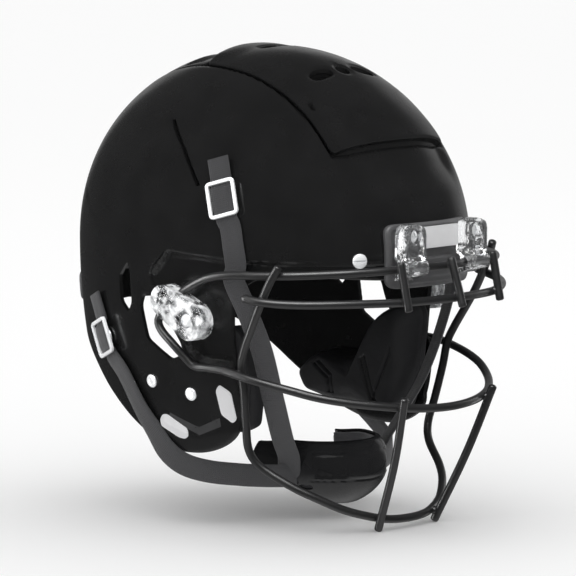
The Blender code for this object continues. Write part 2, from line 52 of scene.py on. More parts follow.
CROWN, WAIST_Z, WALL = 139.6, 50.0, 4.0
CENTRE = np.array([0.0, 0.0, 20.0])
POLE = np.array([0.0, 0.62, 0.78])
WIRE_D, STRAP_W, STRAP_T = 5.8, 16.0, 1.6
HINGE_Y, HINGE_Z, CLIP_X = -157.0, 46.0, 32.0
NAMEPLATE_Y, NAMEPLATE_Z = -152.8, 65.5
TAG = {-1: "R", 1: "L"}

# the nameplate's middle ties the helmet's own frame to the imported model's
_plate_lo, _plate_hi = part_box("nameplate")
PLACE = np.array([0.0, (_plate_lo.y + _plate_hi.y) / 2 / MM - NAMEPLATE_Y,
                  (_plate_lo.z + _plate_hi.z) / 2 / MM - NAMEPLATE_Z])

RIM = [(0, -146, 35), (40, -138, 36), (70, -119, 38), (92, -92, 39), (101, -76, 37), (106, -66, 31),
       (109, -59, 20), (109, -57, 2), (108, -58, -24), (105, -61, -46), (102, -61, -64),
       (101, -56, -77), (100, -44, -84), (99, -24, -87), (98, 0, -85), (97, 20, -79), (95, 40, -68),
       (91, 66, -50), (83, 92, -30), (66, 120, -13), (38, 145, -4), (0, 154, -2)]
EAR_HOLE = [(24, 13), (20, 22), (12, 21), (1, 13), (-15, -12), (-14, -19), (-3, -23), (19, -10)]
REAR_SLOT = [(37, 43), (47, 32), (46, 14), (38, 7), (33, 14), (34, 34)]
SIDE_SLOT = [(15, 143), (9, 138), (-6, 125), (-17, 113), (-28, 100), (-25, 99), (-14, 112), (-3, 123.5),
             (12, 136), (17, 141.5)]


def unit(v):
    v = np.asarray(v, float)
    return v / np.linalg.norm(v, axis=-1, keepdims=True)


def smooth(a, b, x):
    """Zero below a, easing to one at b."""
    t = np.clip((np.asarray(x, float) - a) / (b - a), 0.0, 1.0)
    return t * t * (3.0 - 2.0 * t)


def ramp(a, b, x):
    """Zero below a, in a straight line to one at b."""
    return np.clip((np.asarray(x, float) - a) / (b - a), 0.0, 1.0)


def fade(a, b, x):
    """One below a, easing to zero at b."""
    return 1.0 - smooth(a, b, x)


def drop(a, b, x):
    """One below a, in a straight line to zero at b."""
    return 1.0 - ramp(a, b, x)


# ------------------------------------------------------------- outer form of the shell

def level(p):
    """Below zero inside the plain outer form of the shell, above zero outside it."""
    x, y, z = p[..., 0], p[..., 1], p[..., 2]
    power = 2.12
    rho = np.hypot(x, y) + 1e-9
    s, c = np.abs(x) / rho, y / rho
    reach = np.where(c < 0, FRONT_R, BACK_R)
    plan = ((s / HALF_W) ** power + (np.abs(c) / reach) ** power) ** (-1 / power)
    m = 1.99 + 0.12 * (1 + c) / 2
    h = np.clip((z - WAIST_Z) / CROWN, 0, 1)
    k = (1 - h ** m) ** (1 / m)
    low = np.clip((WAIST_Z - z) / 130.0, 0, 2)
    k = k * (1 - 0.13 * low ** 2)
    over = np.clip(z - WAIST_Z - CROWN, 0, None) / CROWN
    return rho / plan - k + over


def march(origin, direction, far):
    """How far along each direction the plain form ends, found by halving."""
    lo = np.zeros(len(direction))
    hi = np.full(len(direction), float(far))
    for _ in range(34):
        mid = (lo + hi) / 2
        inside = level(origin + direction * mid[:, None]) < 0
        lo = np.where(inside, mid, lo)
        hi = np.where(inside, hi, mid)
    return (lo + hi) / 2


def normals(p):
    e = 0.05
    g = [level(p + np.eye(3)[i] * e) - level(p - np.eye(3)[i] * e) for i in range(3)]
    return unit(np.stack(g, -1))


def onto(axis, side, a, b, offset):
    """Points above the plain form; axis 'x' takes (y, z), 'y' takes (x, z), 'z' takes (x, y)."""
    a, b = np.asarray(a, float).ravel(), np.asarray(b, float).ravel()
    z0 = np.zeros_like(a)
    start = {"x": (z0, a, b), "y": (a, z0, b), "z": (a, b, z0 + 60.0)}[axis]
    start = np.stack(start, -1)
    d = np.zeros_like(start)
    d[:, "xyz".index(axis)] = side
    p = start + d * march(start, d, 260.0)[:, None]
    return p + normals(p) * (np.zeros(len(p)) + offset)[:, None]


def resample(points, count, closed=False):
    pts = np.asarray(points, float)
    n = len(pts)
    out = []
    for i in range(n if closed else n - 1):
        p1, p2 = pts[i], pts[(i + 1) % n]
        p0 = pts[i - 1] if (closed or i > 0) else 2 * p1 - p2
        p3 = pts[(i + 2) % n] if (closed or i + 2 < n) else 2 * p2 - p1
        for t in np.linspace(0, 1, 16, endpoint=False):
            a = 2 * p1 + (p2 - p0) * t + (2 * p0 - 5 * p1 + 4 * p2 - p3) * t * t
            out.append((a + (3 * p1 - p0 - 3 * p2 + p3) * t ** 3) / 2)
    out.append(pts[0] if closed else pts[-1])
    out = np.array(out)
    run = np.concatenate([[0], np.cumsum(np.linalg.norm(np.diff(out, axis=0), axis=1))])
    at = np.linspace(0, run[-1], count + 1)
    res = np.stack([np.interp(at, run, out[:, k]) for k in range(out.shape[1])], -1)
    return res[:-1] if closed else res


# ------------------------------------------------------------- flat outlines

def rounded(corners, radius, per=5):
    """A polygon with its corners rounded."""
    pts = np.asarray(corners, float)
    n = len(pts)
    out = []
    for i in range(n):
        p, a, b = pts[i], pts[i - 1], pts[(i + 1) % n]
        r = min(radius, np.linalg.norm(a - p) * 0.45, np.linalg.norm(b - p) * 0.45)
        s, e = p + unit(a - p) * r, p + unit(b - p) * r
        for t in np.linspace(0, 1, per):
            out.append((1 - t) ** 2 * s + 2 * t * (1 - t) * p + t * t * e)
    return np.array(out)


def oval(cx, cy, rx, ry, n=40, power=2.0):
    w = np.linspace(0, 2 * pi, n, endpoint=False)
    c, s = np.cos(w), np.sin(w)
    e = 2 / power
    return np.stack([cx + rx * np.sign(c) * np.abs(c) ** e, cy + ry * np.sign(s) * np.abs(s) ** e], -1)


def box_outline(cx, cy, hx, hy, radius, per=6):
    return rounded([(cx - hx, cy - hy), (cx + hx, cy - hy), (cx + hx, cy + hy), (cx - hx, cy + hy)],
                   radius, per)


def densify(outline, step):
    """More points along the straight stretches of a closed outline."""
    out = []
    n = len(outline)
    for i in range(n):
        a, b = outline[i], outline[(i + 1) % n]
        k = max(1, int(np.ceil(np.linalg.norm(b - a) / step)))
        for j in range(k):
            out.append(a + (b - a) * j / k)
    return np.array(out)


def off_line(corners, a, b):
    """Distance of the points (a, b) from a line with corners."""
    best = np.full(a.shape, 1e9)
    for (a0, b0), (a1, b1) in zip(corners[:-1], corners[1:]):
        da, db = a1 - a0, b1 - b0
        t = np.clip(((a - a0) * da + (b - b0) * db) / (da * da + db * db + 1e-12), 0, 1)
        best = np.minimum(best, np.hypot(a - a0 - t * da, b - b0 - t * db))
    return best


def away(poly, a, b):
    """Signed distance from points (a, b) to a closed polygon, negative inside."""
    ring = [*poly, poly[0]]
    inside = np.zeros(a.shape, bool)
    for (a0, b0), (a1, b1) in zip(ring[:-1], ring[1:]):
        if abs(b1 - b0) > 1e-12:
            inside ^= ((b0 > b) != (b1 > b)) & (a < a0 + (b - b0) * (a1 - a0) / (b1 - b0))
    return off_line(ring, a, b) * np.where(inside, -1, 1)


# ------------------------------------------------------------- meshes

def finish_mesh(ob, sharp):
    me = ob.data
    me.polygons.foreach_set("use_smooth", [True] * len(me.polygons))
    if sharp:
        me.set_sharp_from_angle(angle=radians(sharp))
    me.update()


def volume(me):
    n = len(me.vertices)
    co = np.empty(n * 3)
    me.vertices.foreach_get("co", co)
    co = co.reshape(-1, 3)
    me.calc_loop_triangles()
    tri = np.empty(len(me.loop_triangles) * 3, np.int32)
    me.loop_triangles.foreach_get("vertices", tri)
    a, b, c = (co[tri.reshape(-1, 3)[:, k]] for k in range(3))
    return float((a * np.cross(b, c)).sum())


def add(name, verts, faces, mat, sharp=32):
    """An object from millimetre vertices, placed in the model's frame."""
    v = (np.asarray(verts, float) + PLACE) * MM
    me = bpy.data.meshes.new(name)
    me.from_pydata(v.tolist(), [], [tuple(int(i) for i in f) for f in faces])
    me.validate()
    if volume(me) < 0:
        me.flip_normals()
    if mat:
        me.materials.append(mat)
    ob = bpy.data.objects.new(name, me)
    bpy.context.scene.collection.objects.link(ob)
    finish_mesh(ob, sharp)
    return ob


def boolean(target, cutters, operation="DIFFERENCE", sharp=32):
    """Cut or unite in one exact step, and keep only the result."""
    for c in cutters:
        mod = target.modifiers.new("cut", "BOOLEAN")
        mod.operation, mod.solver, mod.object = operation, "EXACT", c
    dg = bpy.context.evaluated_depsgraph_get()
    me = bpy.data.meshes.new_from_object(target.evaluated_get(dg))
    target.modifiers.clear()
    target.data = me
    for c in cutters:
        bpy.data.objects.remove(c, do_unlink=True)
    finish_mesh(target, sharp)
    return target


def ring_faces(rings, n, closed=False):
    """Quads between consecutive rings of n points, and end polygons unless the rings close up."""
    faces = []
    for i in range(rings if closed else rings - 1):
        a, b = i * n, (i + 1) % rings * n
        for j in range(n):
            k = (j + 1) % n
            faces.append((a + j, a + k, b + k, b + j))
    if not closed:
        e = (rings - 1) * n
        faces += [tuple(range(n))[::-1], tuple(range(e, e + n))]
    return faces


def prism(name, outline, axis, lo, hi, mat=None):
    """An outline swept along an axis."""
    outline = np.asarray(outline, float)
    verts = [np.insert(outline, "xyz".index(axis), at, axis=1) for at in (lo, hi)]
    return add(name, np.concatenate(verts), ring_faces(2, len(outline)), mat)


def cap(name, outline, centre, place, rings, heights, mat, sharp=32, under=None, inner=10):
    """A closed plate or pad: outline rings from the foot, over the edge, and in to the middle.

    rings is a list of (inset, height) from the underside's edge up; heights gives the extra height of
    the top at (a, b); place turns (a, b, height) into points; inner is the number of rings inside.
    """
    outline, c = np.asarray(outline, float), np.asarray(centre, float)
    d = outline - c
    dist = np.linalg.norm(d, axis=1, keepdims=True)
    loops = []
    foot = (rings[0][1] if under is None else under) + np.zeros(len(outline))
    top = rings[-1][1] + np.zeros(len(outline))
    for s in np.linspace(0.12, 0.9, 5):
        q = c + d * s
        loops.append(place(q[:, 0], q[:, 1], foot))
    for inset, h in rings:
        q = c + d * (1 - (inset + np.zeros(len(outline)))[:, None] / dist)
        share = np.clip((h - foot) / (top - foot), 0, 1)
        extra = heights(q[:, 0], q[:, 1]) * share if heights else 0.0
        loops.append(place(q[:, 0], q[:, 1], h + extra))
    edge = c + d * (1 - rings[-1][0] / dist)
    for s in np.linspace(1, 0.04, inner + 1)[1:]:
        q = c + (edge - c) * s
        extra = heights(q[:, 0], q[:, 1]) if heights else 0.0
        loops.append(place(q[:, 0], q[:, 1], top + extra))
    return add(name, np.concatenate(loops), ring_faces(len(loops), len(outline)), mat, sharp)


def rolled(r, top, steps):
    """A rounded edge of radius r up to the height top, as (inset, height) pairs."""
    return [(r * (1 - cos(t)), top - r + r * sin(t)) for t in np.linspace(0, pi / 2, steps + 1)]


def over_edge(r, lo, hi, steps=5):
    """Foot, wall and rounded upper edge as (inset, height) pairs."""
    return [(0.0, lo), (0.0, lo + 0.01), *rolled(r, hi, steps)]


def tube(name, path, radius, sides, mat=None, closed=False):
    """A round wire along a path, with domed ends unless it is closed."""
    p = np.asarray(path, float)
    n = len(p)
    t = unit(np.roll(p, -1, 0) - np.roll(p, 1, 0)) if closed else unit(np.gradient(p, axis=0))
    up = unit(np.cross(t[0], (0.3, 0.2, 0.93)))
    w = 2 * pi * np.arange(sides) / sides
    turns = []
    for i in range(n):
        up = unit(up - t[i] * (up @ t[i]))
        turns.append((up, np.cross(t[i], up)))
    twist = 0.0
    if closed:
        u0, s0 = turns[0]
        ue = unit(turns[-1][0] - t[0] * (turns[-1][0] @ t[0]))
        twist = np.arctan2(ue @ s0, ue @ u0)

    def circle(i, r, shift):
        u, v = turns[i]
        a = w - twist * i / n
        return p[i] + shift * t[i] + r * (np.cos(a)[:, None] * u + np.sin(a)[:, None] * v)

    verts = [circle(i, radius, 0.0) for i in range(n)]
    if not closed:
        dome = [(radius * sin(q * pi / 2), radius * 0.5 * cos(q * pi / 2)) for q in (0.35, 0.75)]
        verts = ([circle(0, r, -h) for r, h in dome] + verts
                 + [circle(n - 1, r, h) for r, h in dome[::-1]])
    return add(name, np.concatenate(verts), ring_faces(len(verts), sides, closed), mat, 50)


def turned(name, profile, centre, axis, sides, mat):
    """A turned solid; the profile is (radius, height) pairs from the bottom to the top."""
    ax = unit(axis)
    u = unit(np.cross(ax, (0.21, 0.13, 0.97)))
    v = np.cross(ax, u)
    c = np.asarray(centre, float)
    w = 2 * pi * np.arange(sides) / sides
    rings = [c + ax * h + r * (np.cos(w)[:, None] * u + np.sin(w)[:, None] * v) for r, h in profile]
    return add(name, np.concatenate(rings), ring_faces(len(rings), sides), mat, 30)


def join(name, obs):
    """Several objects as one piece."""
    bpy.ops.object.select_all(action="DESELECT")
    for o in obs:
        o.select_set(True)
    bpy.context.view_layer.objects.active = obs[0]
    bpy.ops.object.join()
    obs[0].name = name
    obs[0].data.name = name
    return obs[0]


POLISHED = bpy.data.collections.new("polished")
BRIGHT = bpy.data.collections.new("bright")


def ride(ob, body, *nodes, slot=None):
    """Attach a piece to its body, in place of its CAD nodes."""
    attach(ob, body)
    if slot in ("chrome", "label"):
        POLISHED.objects.link(ob)
    if slot in ("wire", "chrome", "clear", "rubber"):
        BRIGHT.objects.link(ob)
    if nodes:
        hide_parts(*nodes)
    return ob


# ------------------------------------------------------------- materials

def node(tree, kind, ins, operation=None, out=0):
    """One output of a new shader node; each of ins is a constant or the socket it is linked to."""
    new = tree.nodes.new("ShaderNode" + kind)
    if operation:
        new.operation = operation
    for key, value in ins.items():
        if isinstance(value, bpy.types.NodeSocket):
            tree.links.new(value, new.inputs[key])
        else:
            new.inputs[key].default_value = value
    return new.outputs[out]


def principled(name, values):
    """A new material with its node tree and its shader's inputs."""
    m = bpy.data.materials.new(name)
    m.use_nodes = True
    ins = m.node_tree.nodes["Principled BSDF"].inputs
    for key, value in values.items():
        ins[key].default_value = value
    return m, m.node_tree, ins


def mix_noise(nt, source, scale, detail, low, high, at=(0.35, 0.65)):
    """A noise value remapped to low..high, from the object's own coordinates."""
    noise = node(nt, "TexNoise", {"Vector": source, "Scale": scale, "Detail": detail})
    return node(nt, "MapRange", {"Value": noise, "From Min": at[0], "From Max": at[1],
                                 "To Min": low, "To Max": high})


def surface(name, colour, rough, metallic=0.0, vary=0.12, rough_vary=0.05, grain=None, peel=None,
            coat=0.0, specular=0.5, transmission=0.0, ior=1.5, sheen=0.0, cloud=None):
    """A Principled material whose colour, roughness and bump vary as the real surface does."""
    m, nt, ins = principled(name, {
        "Metallic": metallic, "Coat Weight": coat, "Coat Roughness": 0.06, "Specular IOR Level": specular,
        "Transmission Weight": transmission, "IOR": ior, "Sheen Weight": sheen})
    src = node(nt, "TexCoord", {}, out="Object")
    amount = mix_noise(nt, src, 38.0, 3.0, 1 - vary, 1 + vary)
    nt.links.new(node(nt, "VectorMath", {0: colour, "Scale": amount}, "SCALE"), ins["Base Color"])
    nt.links.new(mix_noise(nt, src, 90.0, 4.0, rough - rough_vary, rough + rough_vary), ins["Roughness"])
    if cloud:
        size, low, high = cloud
        nt.links.new(mix_noise(nt, src, size, 2.0, low, high, (0.4, 0.6)), ins["Transmission Weight"])
    last = None
    for kind in (peel, grain):
        if not kind:
            continue
        size, strength, depth = kind
        h = mix_noise(nt, src, size, 2.0, 0.0, 1.0, (0.2, 0.8))
        below = {"Normal": last} if last else {}
        last = node(nt, "Bump", {"Strength": strength, "Distance": depth, "Height": h, **below})
    if last:
        nt.links.new(last, ins["Normal"])
    return m


def webbing(name, colour):
    """Flat woven strap: ribs across the width and a paired warp, from the strap's own UVs."""
    m, nt, ins = principled(name, {"Roughness": 0.62, "Sheen Weight": 0.25})
    uv = node(nt, "TexCoord", {}, out="UV")
    across, along = (node(nt, "SeparateXYZ", {0: uv}, out=axis) for axis in "XY")

    def wave(socket, turns, phase=0.5):
        angle = node(nt, "Math", {0: socket, 1: turns * 2 * pi, 2: phase}, "MULTIPLY_ADD")
        return node(nt, "Math", {0: angle}, "SINE")

    warp = wave(across, 12.0)
    weft = wave(along, 11.0, node(nt, "Math", {0: warp, 1: 1.3}, "MULTIPLY"))
    both = node(nt, "Math", {0: warp, 1: 0.5, 2: weft}, "MULTIPLY_ADD")
    fuzz = mix_noise(nt, node(nt, "TexCoord", {}, out="Object"), 900.0, 2.0, -0.5, 0.5)
    height = node(nt, "Math", {0: both, 1: fuzz}, "ADD")
    tone = node(nt, "MapRange", {"Value": height, "From Min": -2.0, "From Max": 2.0,
                                 "To Min": 0.82, "To Max": 1.18})
    nt.links.new(node(nt, "VectorMath", {0: colour, "Scale": tone}, "SCALE"), ins["Base Color"])
    bump = node(nt, "Bump", {"Strength": 0.45, "Distance": 0.00025, "Height": height})
    nt.links.new(bump, ins["Normal"])
    return m


SHELL = surface("shell_gloss", (0.0118, 0.0118, 0.0121), 0.24, rough_vary=0.035, coat=0.1,
                peel=(260.0, 0.05, 0.0004))
PLATE = surface("plate_gloss", (0.0116, 0.0116, 0.0119), 0.25, rough_vary=0.035, coat=0.1,
                peel=(260.0, 0.05, 0.0004))
WIRE = surface("wire_coating", (0.009, 0.009, 0.0095), 0.38, rough_vary=0.05, coat=0.1, specular=0.9,
               peel=(420.0, 0.12, 0.0003))
RUBBER = surface("bumper_rubber", (0.066, 0.066, 0.068), 0.42, rough_vary=0.06,
                 grain=(1500.0, 0.15, 0.0002))
LABEL = surface("silver_film", (0.84, 0.84, 0.85), 0.34, metallic=0.3, vary=0.03, rough_vary=0.03,
                grain=(1500.0, 0.05, 0.0001))
CHROME = surface("chrome", (0.84, 0.85, 0.86), 0.12, metallic=0.4, vary=0.04, rough_vary=0.05)
CLEAR = surface("clear_polycarbonate", (0.95, 0.96, 0.97), 0.035, vary=0.02, rough_vary=0.02,
                transmission=0.965, ior=1.49, peel=(170.0, 0.35, 0.0012))
CLEAR_SIDE = surface("clear_polycarbonate_side", (0.86, 0.87, 0.88), 0.05, vary=0.06, rough_vary=0.03,
                     cloud=(105.0, 0.25, 1.0), ior=1.49, peel=(120.0, 0.9, 0.004),
                     grain=(420.0, 0.3, 0.001))
# painted highlight: the jaw-flap step's upward face gets a lighter finish than the shell, standing in for the
# light falling on it
LEDGE_PAINTED_HIGHLIGHT = surface("ledge_painted_highlight", (0.052, 0.052, 0.054), 0.45, rough_vary=0.08, grain=(1500.0, 0.15, 0.0002))
VINYL = surface("pad_vinyl", (0.024, 0.024, 0.026), 0.4, rough_vary=0.08, peel=(140.0, 0.2, 0.0012),
                grain=(2200.0, 0.3, 0.00012))
FOAM = surface("comfort_foam", (0.06, 0.06, 0.066), 0.85, sheen=0.3, grain=(1800.0, 0.6, 0.0003))
CUP = surface("cup_gloss", (0.014, 0.014, 0.015), 0.2, coat=0.25, peel=(260.0, 0.05, 0.0004))
WEB = webbing("strap_weave", (0.062, 0.062, 0.066))


# ------------------------------------------------------------- shell with its mouldings

def crown_half_width(y):
    """Half the width of the two crown plates at y."""
    return np.interp(y, [-105, -78, -47, -24, 0, 20, 50, 75, 98],
                     [57.5, 56, 54.5, 52.5, 50.5, 47.5, 42.5, 36.5, 28.5])


def front_edge(x):
    """Y of the front crown plate's leading edge at x."""
    u = np.clip(np.abs(x) / 59.0, 0, 1)
    return -104 - 15 * (1 - u * u)


def rear_edge(x):
    """Y of the rear crown plate's end at x."""
    u = np.clip(np.abs(x) / 30.0, 0, 1)
    return 98 + 7 * (1 - u * u)


EAR = densify(rounded(EAR_HOLE, 3.2), 3.0)
REAR = densify(rounded(REAR_SLOT, 2.6), 3.0)
SIDE = densify(rounded(SIDE_SLOT, 1.2, 4), 4.0)
RECESS = [(-175, 49), (-60, 50), (-24, 52.5), (-6, 54), (11.5, 35.5), (-1.5, 19), (-12, 2), (-19, -14),
          (-30, -22), (-70, -26), (-175, -30)]
CHEVRON = [(9.0, -61.0), (-20.9, -70.5), (-42.0, -63.0), (-60, -63), (-60, -120), (60, -120), (30, -84)]
BROW_WING = [(-68, 80), (-79, 84.5), (-90, 83.5), (-111, 84.5), (-101, 80), (-88, 77.5), (-78, 75.5)]


def moulding(p):
    """How far the moulded shell stands in or out of the plain form."""
    x, y, z = p[..., 0], p[..., 1], p[..., 2]
    ax = np.abs(x)
    # bed of the crown plates, with a narrow groove at their edges
    hw = crown_half_width(y) + 0.6
    into = np.minimum(np.minimum(hw - ax, y - front_edge(x) + 0.9), rear_edge(x) + 0.9 - y)
    high = smooth(80, 90, z)
    out = -(3.6 * ramp(-0.9, 0.6, into) + 0.3 * fade(0, 5, -into)) * high
    # floor in front of the riser, and the forehead shoulder below it
    floor = smooth(92, 116, z) * fade(46, 60, ax) * drop(-0.5, 1.0, into) * (y < -60)
    out = out - 4.6 * floor
    # recess between the two crown plates
    gap = drop(38.0, 41.0, ax) * ramp(PLATE_END - 5, PLATE_END - 2, y) * drop(50, 56, y)
    out = out - 3.4 * gap * high
    # side recess under the brow ledge
    depth = np.where(ax > 12, 3.2 * fade(-10, 35, y) + 1.6, 4.8)
    out = out - depth * drop(-2.2, 0.4, away(RECESS, y, z))
    # jaw flap step
    c = away(CHEVRON, y, z)
    out = out + 2.4 * drop(-6.0, 0.0, c) * (z < -40) * fade(12, 34, y)
    # wing-shaped pressing over the temple
    w = away(BROW_WING, y, z)
    out = out - 0.7 * drop(-1.4, 0.3, w) * (ax > 70)
    # flatter facet behind the side slot
    ridge = (y - 20) - 0.28 * (z - 60)
    facet = smooth(0, 26, ridge) * fade(40, 70, ridge)
    out = out - 0.9 * facet * smooth(20, 60, z) * smooth(60, 90, ax)
    # nape crease
    fold = drop(0.4, 2.2, np.abs((z - 78) - 0.62 * (y - 94))) * (ax > 50)
    out = out - 0.9 * fold * smooth(70, 76, y) * fade(104, 112, y)
    # rolled lips at the openings
    for poly, lip in ((EAR, 1.1), (REAR, 0.9), (SIDE, 1.0)):
        e = away(poly, y, z)
        near = (ax > 60) if poly is SIDE else (ax > 80)
        out = out - lip * fade(0.0, 2.6, e) * near
    return out


def shell_piece():
    """The shell from rings between the pole and the rim: inner wall, rolled rim and moulded outside."""
    half, rows, inner_rows = 300, 170, 50
    rim = resample(RIM, half)
    rim = unit(np.concatenate([rim, rim[1:-1][::-1] * (-1, 1, 1)]) - CENTRE)
    pole = unit(POLE)
    ang = np.arccos(np.clip(rim @ pole, -1, 1))

    def ring(s, offset, form=moulding):
        d = unit(np.sin((1 - s) * ang)[:, None] * pole + np.sin(s * ang)[:, None] * rim)
        p = CENTRE + d * march(CENTRE, d, 320.0)[:, None]
        return p + normals(p) * (offset + form(p))[:, None]

    loops = [ring(s, -WALL, bed) for s in np.linspace(0.015, 1, inner_rows)[:-1]]
    # rolled rim: inner corner, nose and outer corner
    loops += [ring(s, h) for s, h in ((0.998, -WALL + 0.3), (1.0, -WALL + 1.1), (1.0, -1.3),
                                      (0.9988, -0.55), (0.996, -0.12))]
    loops += [ring(s, 0.0) for s in np.linspace(0.991, 0.006, rows)]
    ob = add("shell_moulded", np.concatenate(loops), ring_faces(len(loops), 2 * half), SHELL, None)
    cutters = [prism("c", hole, "x", -140, 140) for hole in (EAR, REAR, SIDE)]
    cutters += [prism("c", vent, "z", 140, 210) for vent in CROWN_VENTS]
    cutters += [crease(path, s, *size) for s in (-1, 1) for path, *size in CREASES]
    return boolean(ob, [join("cutter", cutters)], sharp=38)


CREASES = (([(-4.0, 54.5), (11.5, 36.5), (1.0, 22.5)], 0.9, 1.5),
           ([(9.0, -59.5), (-20.9, -69.5), (-40.0, -62.5)], 0.6, 0.8))


def crease(path, side, half, depth):
    """A V-shaped cutter along a line pressed into the shell, tapered to nothing at its ends."""
    r = resample(np.column_stack([path, np.zeros(len(path))]), 26)[:, :2]
    n = len(r)
    t = unit(np.gradient(r, axis=0))
    place = on_shell("x", side)
    taper = np.minimum(1.0, np.minimum(np.arange(n), n - 1 - np.arange(n)) / 5.0 + 0.25)
    rows = []
    for k, h in ((-2.0, 1.0), (2.0, 1.0), (0.0, -depth)):
        q = r + np.stack([-t[:, 1], t[:, 0]], -1) * (k * half * taper)[:, None]
        rows.append(place(q[:, 0], q[:, 1], h * (taper if h < 0 else np.ones(n))))
    return add("c", np.stack(rows, 1).reshape(-1, 3), ring_faces(n, 3), None, None)


def bed(p):
    """The inner wall follows only the broad part of the mouldings."""
    ax, y, z = np.abs(p[..., 0]), p[..., 1], p[..., 2]
    crown = fade(60, 82, ax) * smooth(96, 124, z) * fade(110, 128, y)
    ledge = fade(44, 50, z) * fade(-9, 6, y) * smooth(-26, -16, z)
    return -3.6 * crown - 3.6 * ledge - 1.5 * crown * (np.abs(y - 38) < 22)


CROWN_VENTS = [oval(0, -62.5, 5.2, 5.2, 32), oval(-21, -61.5, 10.4, 5.6, 40, 2.4),
               oval(21, -61.5, 10.4, 5.6, 40, 2.4), oval(0, 1, 15.5, 5.0, 44, 2.4)]


def from_sides(sides, radius):
    """A closed outline from curved sides, with a rounded corner between each two."""
    out = []
    n = len(sides)
    for i in range(n):
        s, nxt = np.asarray(sides[i], float), np.asarray(sides[(i + 1) % n], float)
        clear = [np.linalg.norm(s - end, axis=1) > radius for end in (s[0], s[-1])]
        body = s[clear[0] & clear[1]]
        out.extend(body)
        a, b = body[-1], nxt[np.linalg.norm(nxt - nxt[0], axis=1) > radius][0]
        for t in np.linspace(0, 1, 8)[1:-1]:
            out.append((1 - t) ** 2 * a + 2 * t * (1 - t) * s[-1] + t * t * b)
    return np.array(out)


def line(a, b, n):
    """n points from a to b."""
    t = np.linspace(0, 1, n)[:, None]
    return (1 - t) * np.asarray(a, float) + t * np.asarray(b, float)


def on_form(axis, side, sign=1.0):
    """Place function over the plain form; sign -1 counts heights inwards."""
    return lambda a, b, h: onto(axis, side, a, b, sign * np.asarray(h, float))


def on_shell(axis, side):
    """Place function over the moulded shell."""
    def place(a, b, h):
        p = onto(axis, side, a, b, 0.0)
        n = normals(p)
        return p + n * (moulding(p) + h)[:, None]
    return place


def vent_lip(x, y):
    """The crown plate dips towards the rim of each vent."""
    return -sum(fade(0.0, 3.0, away(o, x, y)) for o in CROWN_VENTS)


PLATE_END = 24.0
TEAR = [(46.5, -57), (44.0, -61), (44.5, -68), (46.5, -77), (49, -83), (51.5, -80), (51.5, -70), (49.5, -60)]
TEAR_DEEP = [(47.0, -76), (49.3, -82.5), (51.2, -80), (49.8, -75)]


def front_plate_height(x, y):
    ax = np.abs(x)
    out = vent_lip(x, y) + 0.7 + 1.2 * smooth(82, 108, -y) * fade(50, 58, ax)
    out = out + 1.7 * smooth(PLATE_END - 22, PLATE_END - 2, y) * fade(34, 47, ax)
    out = out - 0.4 * drop(-1.0, 0.2, away(TEAR, ax, y))
    return out - 2.2 * drop(-1.0, 0.2, away(TEAR_DEEP, ax, y))


def plate_outline(front, ys, rear, step):
    """A crown plate's outline, from its front and rear edges and the crown's width at ys."""
    right = np.stack([crown_half_width(ys), ys], -1)
    return densify(from_sides([front, right, rear, (right * (-1, 1))[::-1]], 3.4), step)


def crown_plates():
    """The raised front plate with its vents and slotted riser, and the plate behind it."""
    xs = np.linspace(-59, 59, 90)
    end = crown_half_width(PLATE_END)
    o = plate_outline(np.stack([xs, front_edge(xs)], -1), np.linspace(-104, PLATE_END, 110),
                      line((end, PLATE_END), (-end, PLATE_END), 70), 0.8)
    ahead = (o[:, 1] < front_edge(o[:, 0]) + 5).astype(float)
    ox = np.abs(o[:, 0])
    behind = (o[:, 1] > PLATE_END - 3) * (ox < 46)
    # the riser in front has a slot with a thin panel in it
    groove = 1.9 * ahead * drop(30.0, 30.6, ox)
    panel = groove * ramp(28.2, 28.8, ox) + 0.35 * (groove > 0)
    foot = -3.1 - 2.8 * ahead * fade(50, 58, ox) - 1.5 * behind
    rings = [(0.9, foot), (0.0, foot + 0.02)]
    rings += [(inset + 0 * foot, foot * at) for at, inset in
              ((0.9, 0), (0.89, groove), (0.78, groove), (0.77, panel), (0.42, panel), (0.41, groove),
               (0.3, groove), (0.29, 0))]
    rings += rolled(1.15, 0 * foot, 4)
    front_ob = cap("front_plate_moulded", o, (0, -54), on_form("z", 1), rings, front_plate_height, PLATE,
                   under=foot, inner=52, sharp=40)
    boolean(front_ob, [join("cutter", [prism("c", v, "z", 140, 210) for v in CROWN_VENTS])], sharp=40)
    xs = np.linspace(30, -30, 50)
    start = PLATE_END + 1.6
    end = crown_half_width(start)
    o = plate_outline(line((-end, start), (end, start), 70), np.linspace(start, 98, 90),
                      np.stack([xs, rear_edge(xs)], -1), 1.8)

    def height(x, y):
        return -3.4 * drop(36.0, 40.0, np.abs(x)) * drop(48.0, 55.0, y)

    rear_ob = cap("rear_plate_moulded", o, (0, 50), on_form("z", 1), over_edge(1.15, -3.0, -0.4), height,
                  PLATE, inner=34, sharp=40)
    return front_ob, rear_ob


def bevel(ob, width):
    """Round the edges of a cut piece."""
    mod = ob.modifiers.new("edge", "BEVEL")
    mod.width, mod.segments, mod.limit_method = width * MM, 2, "ANGLE"
    mod.angle_limit = radians(30)
    mod.harden_normals = False
    return boolean(ob, [], sharp=40)


# ------------------------------------------------------------- bumpers, plate and labels

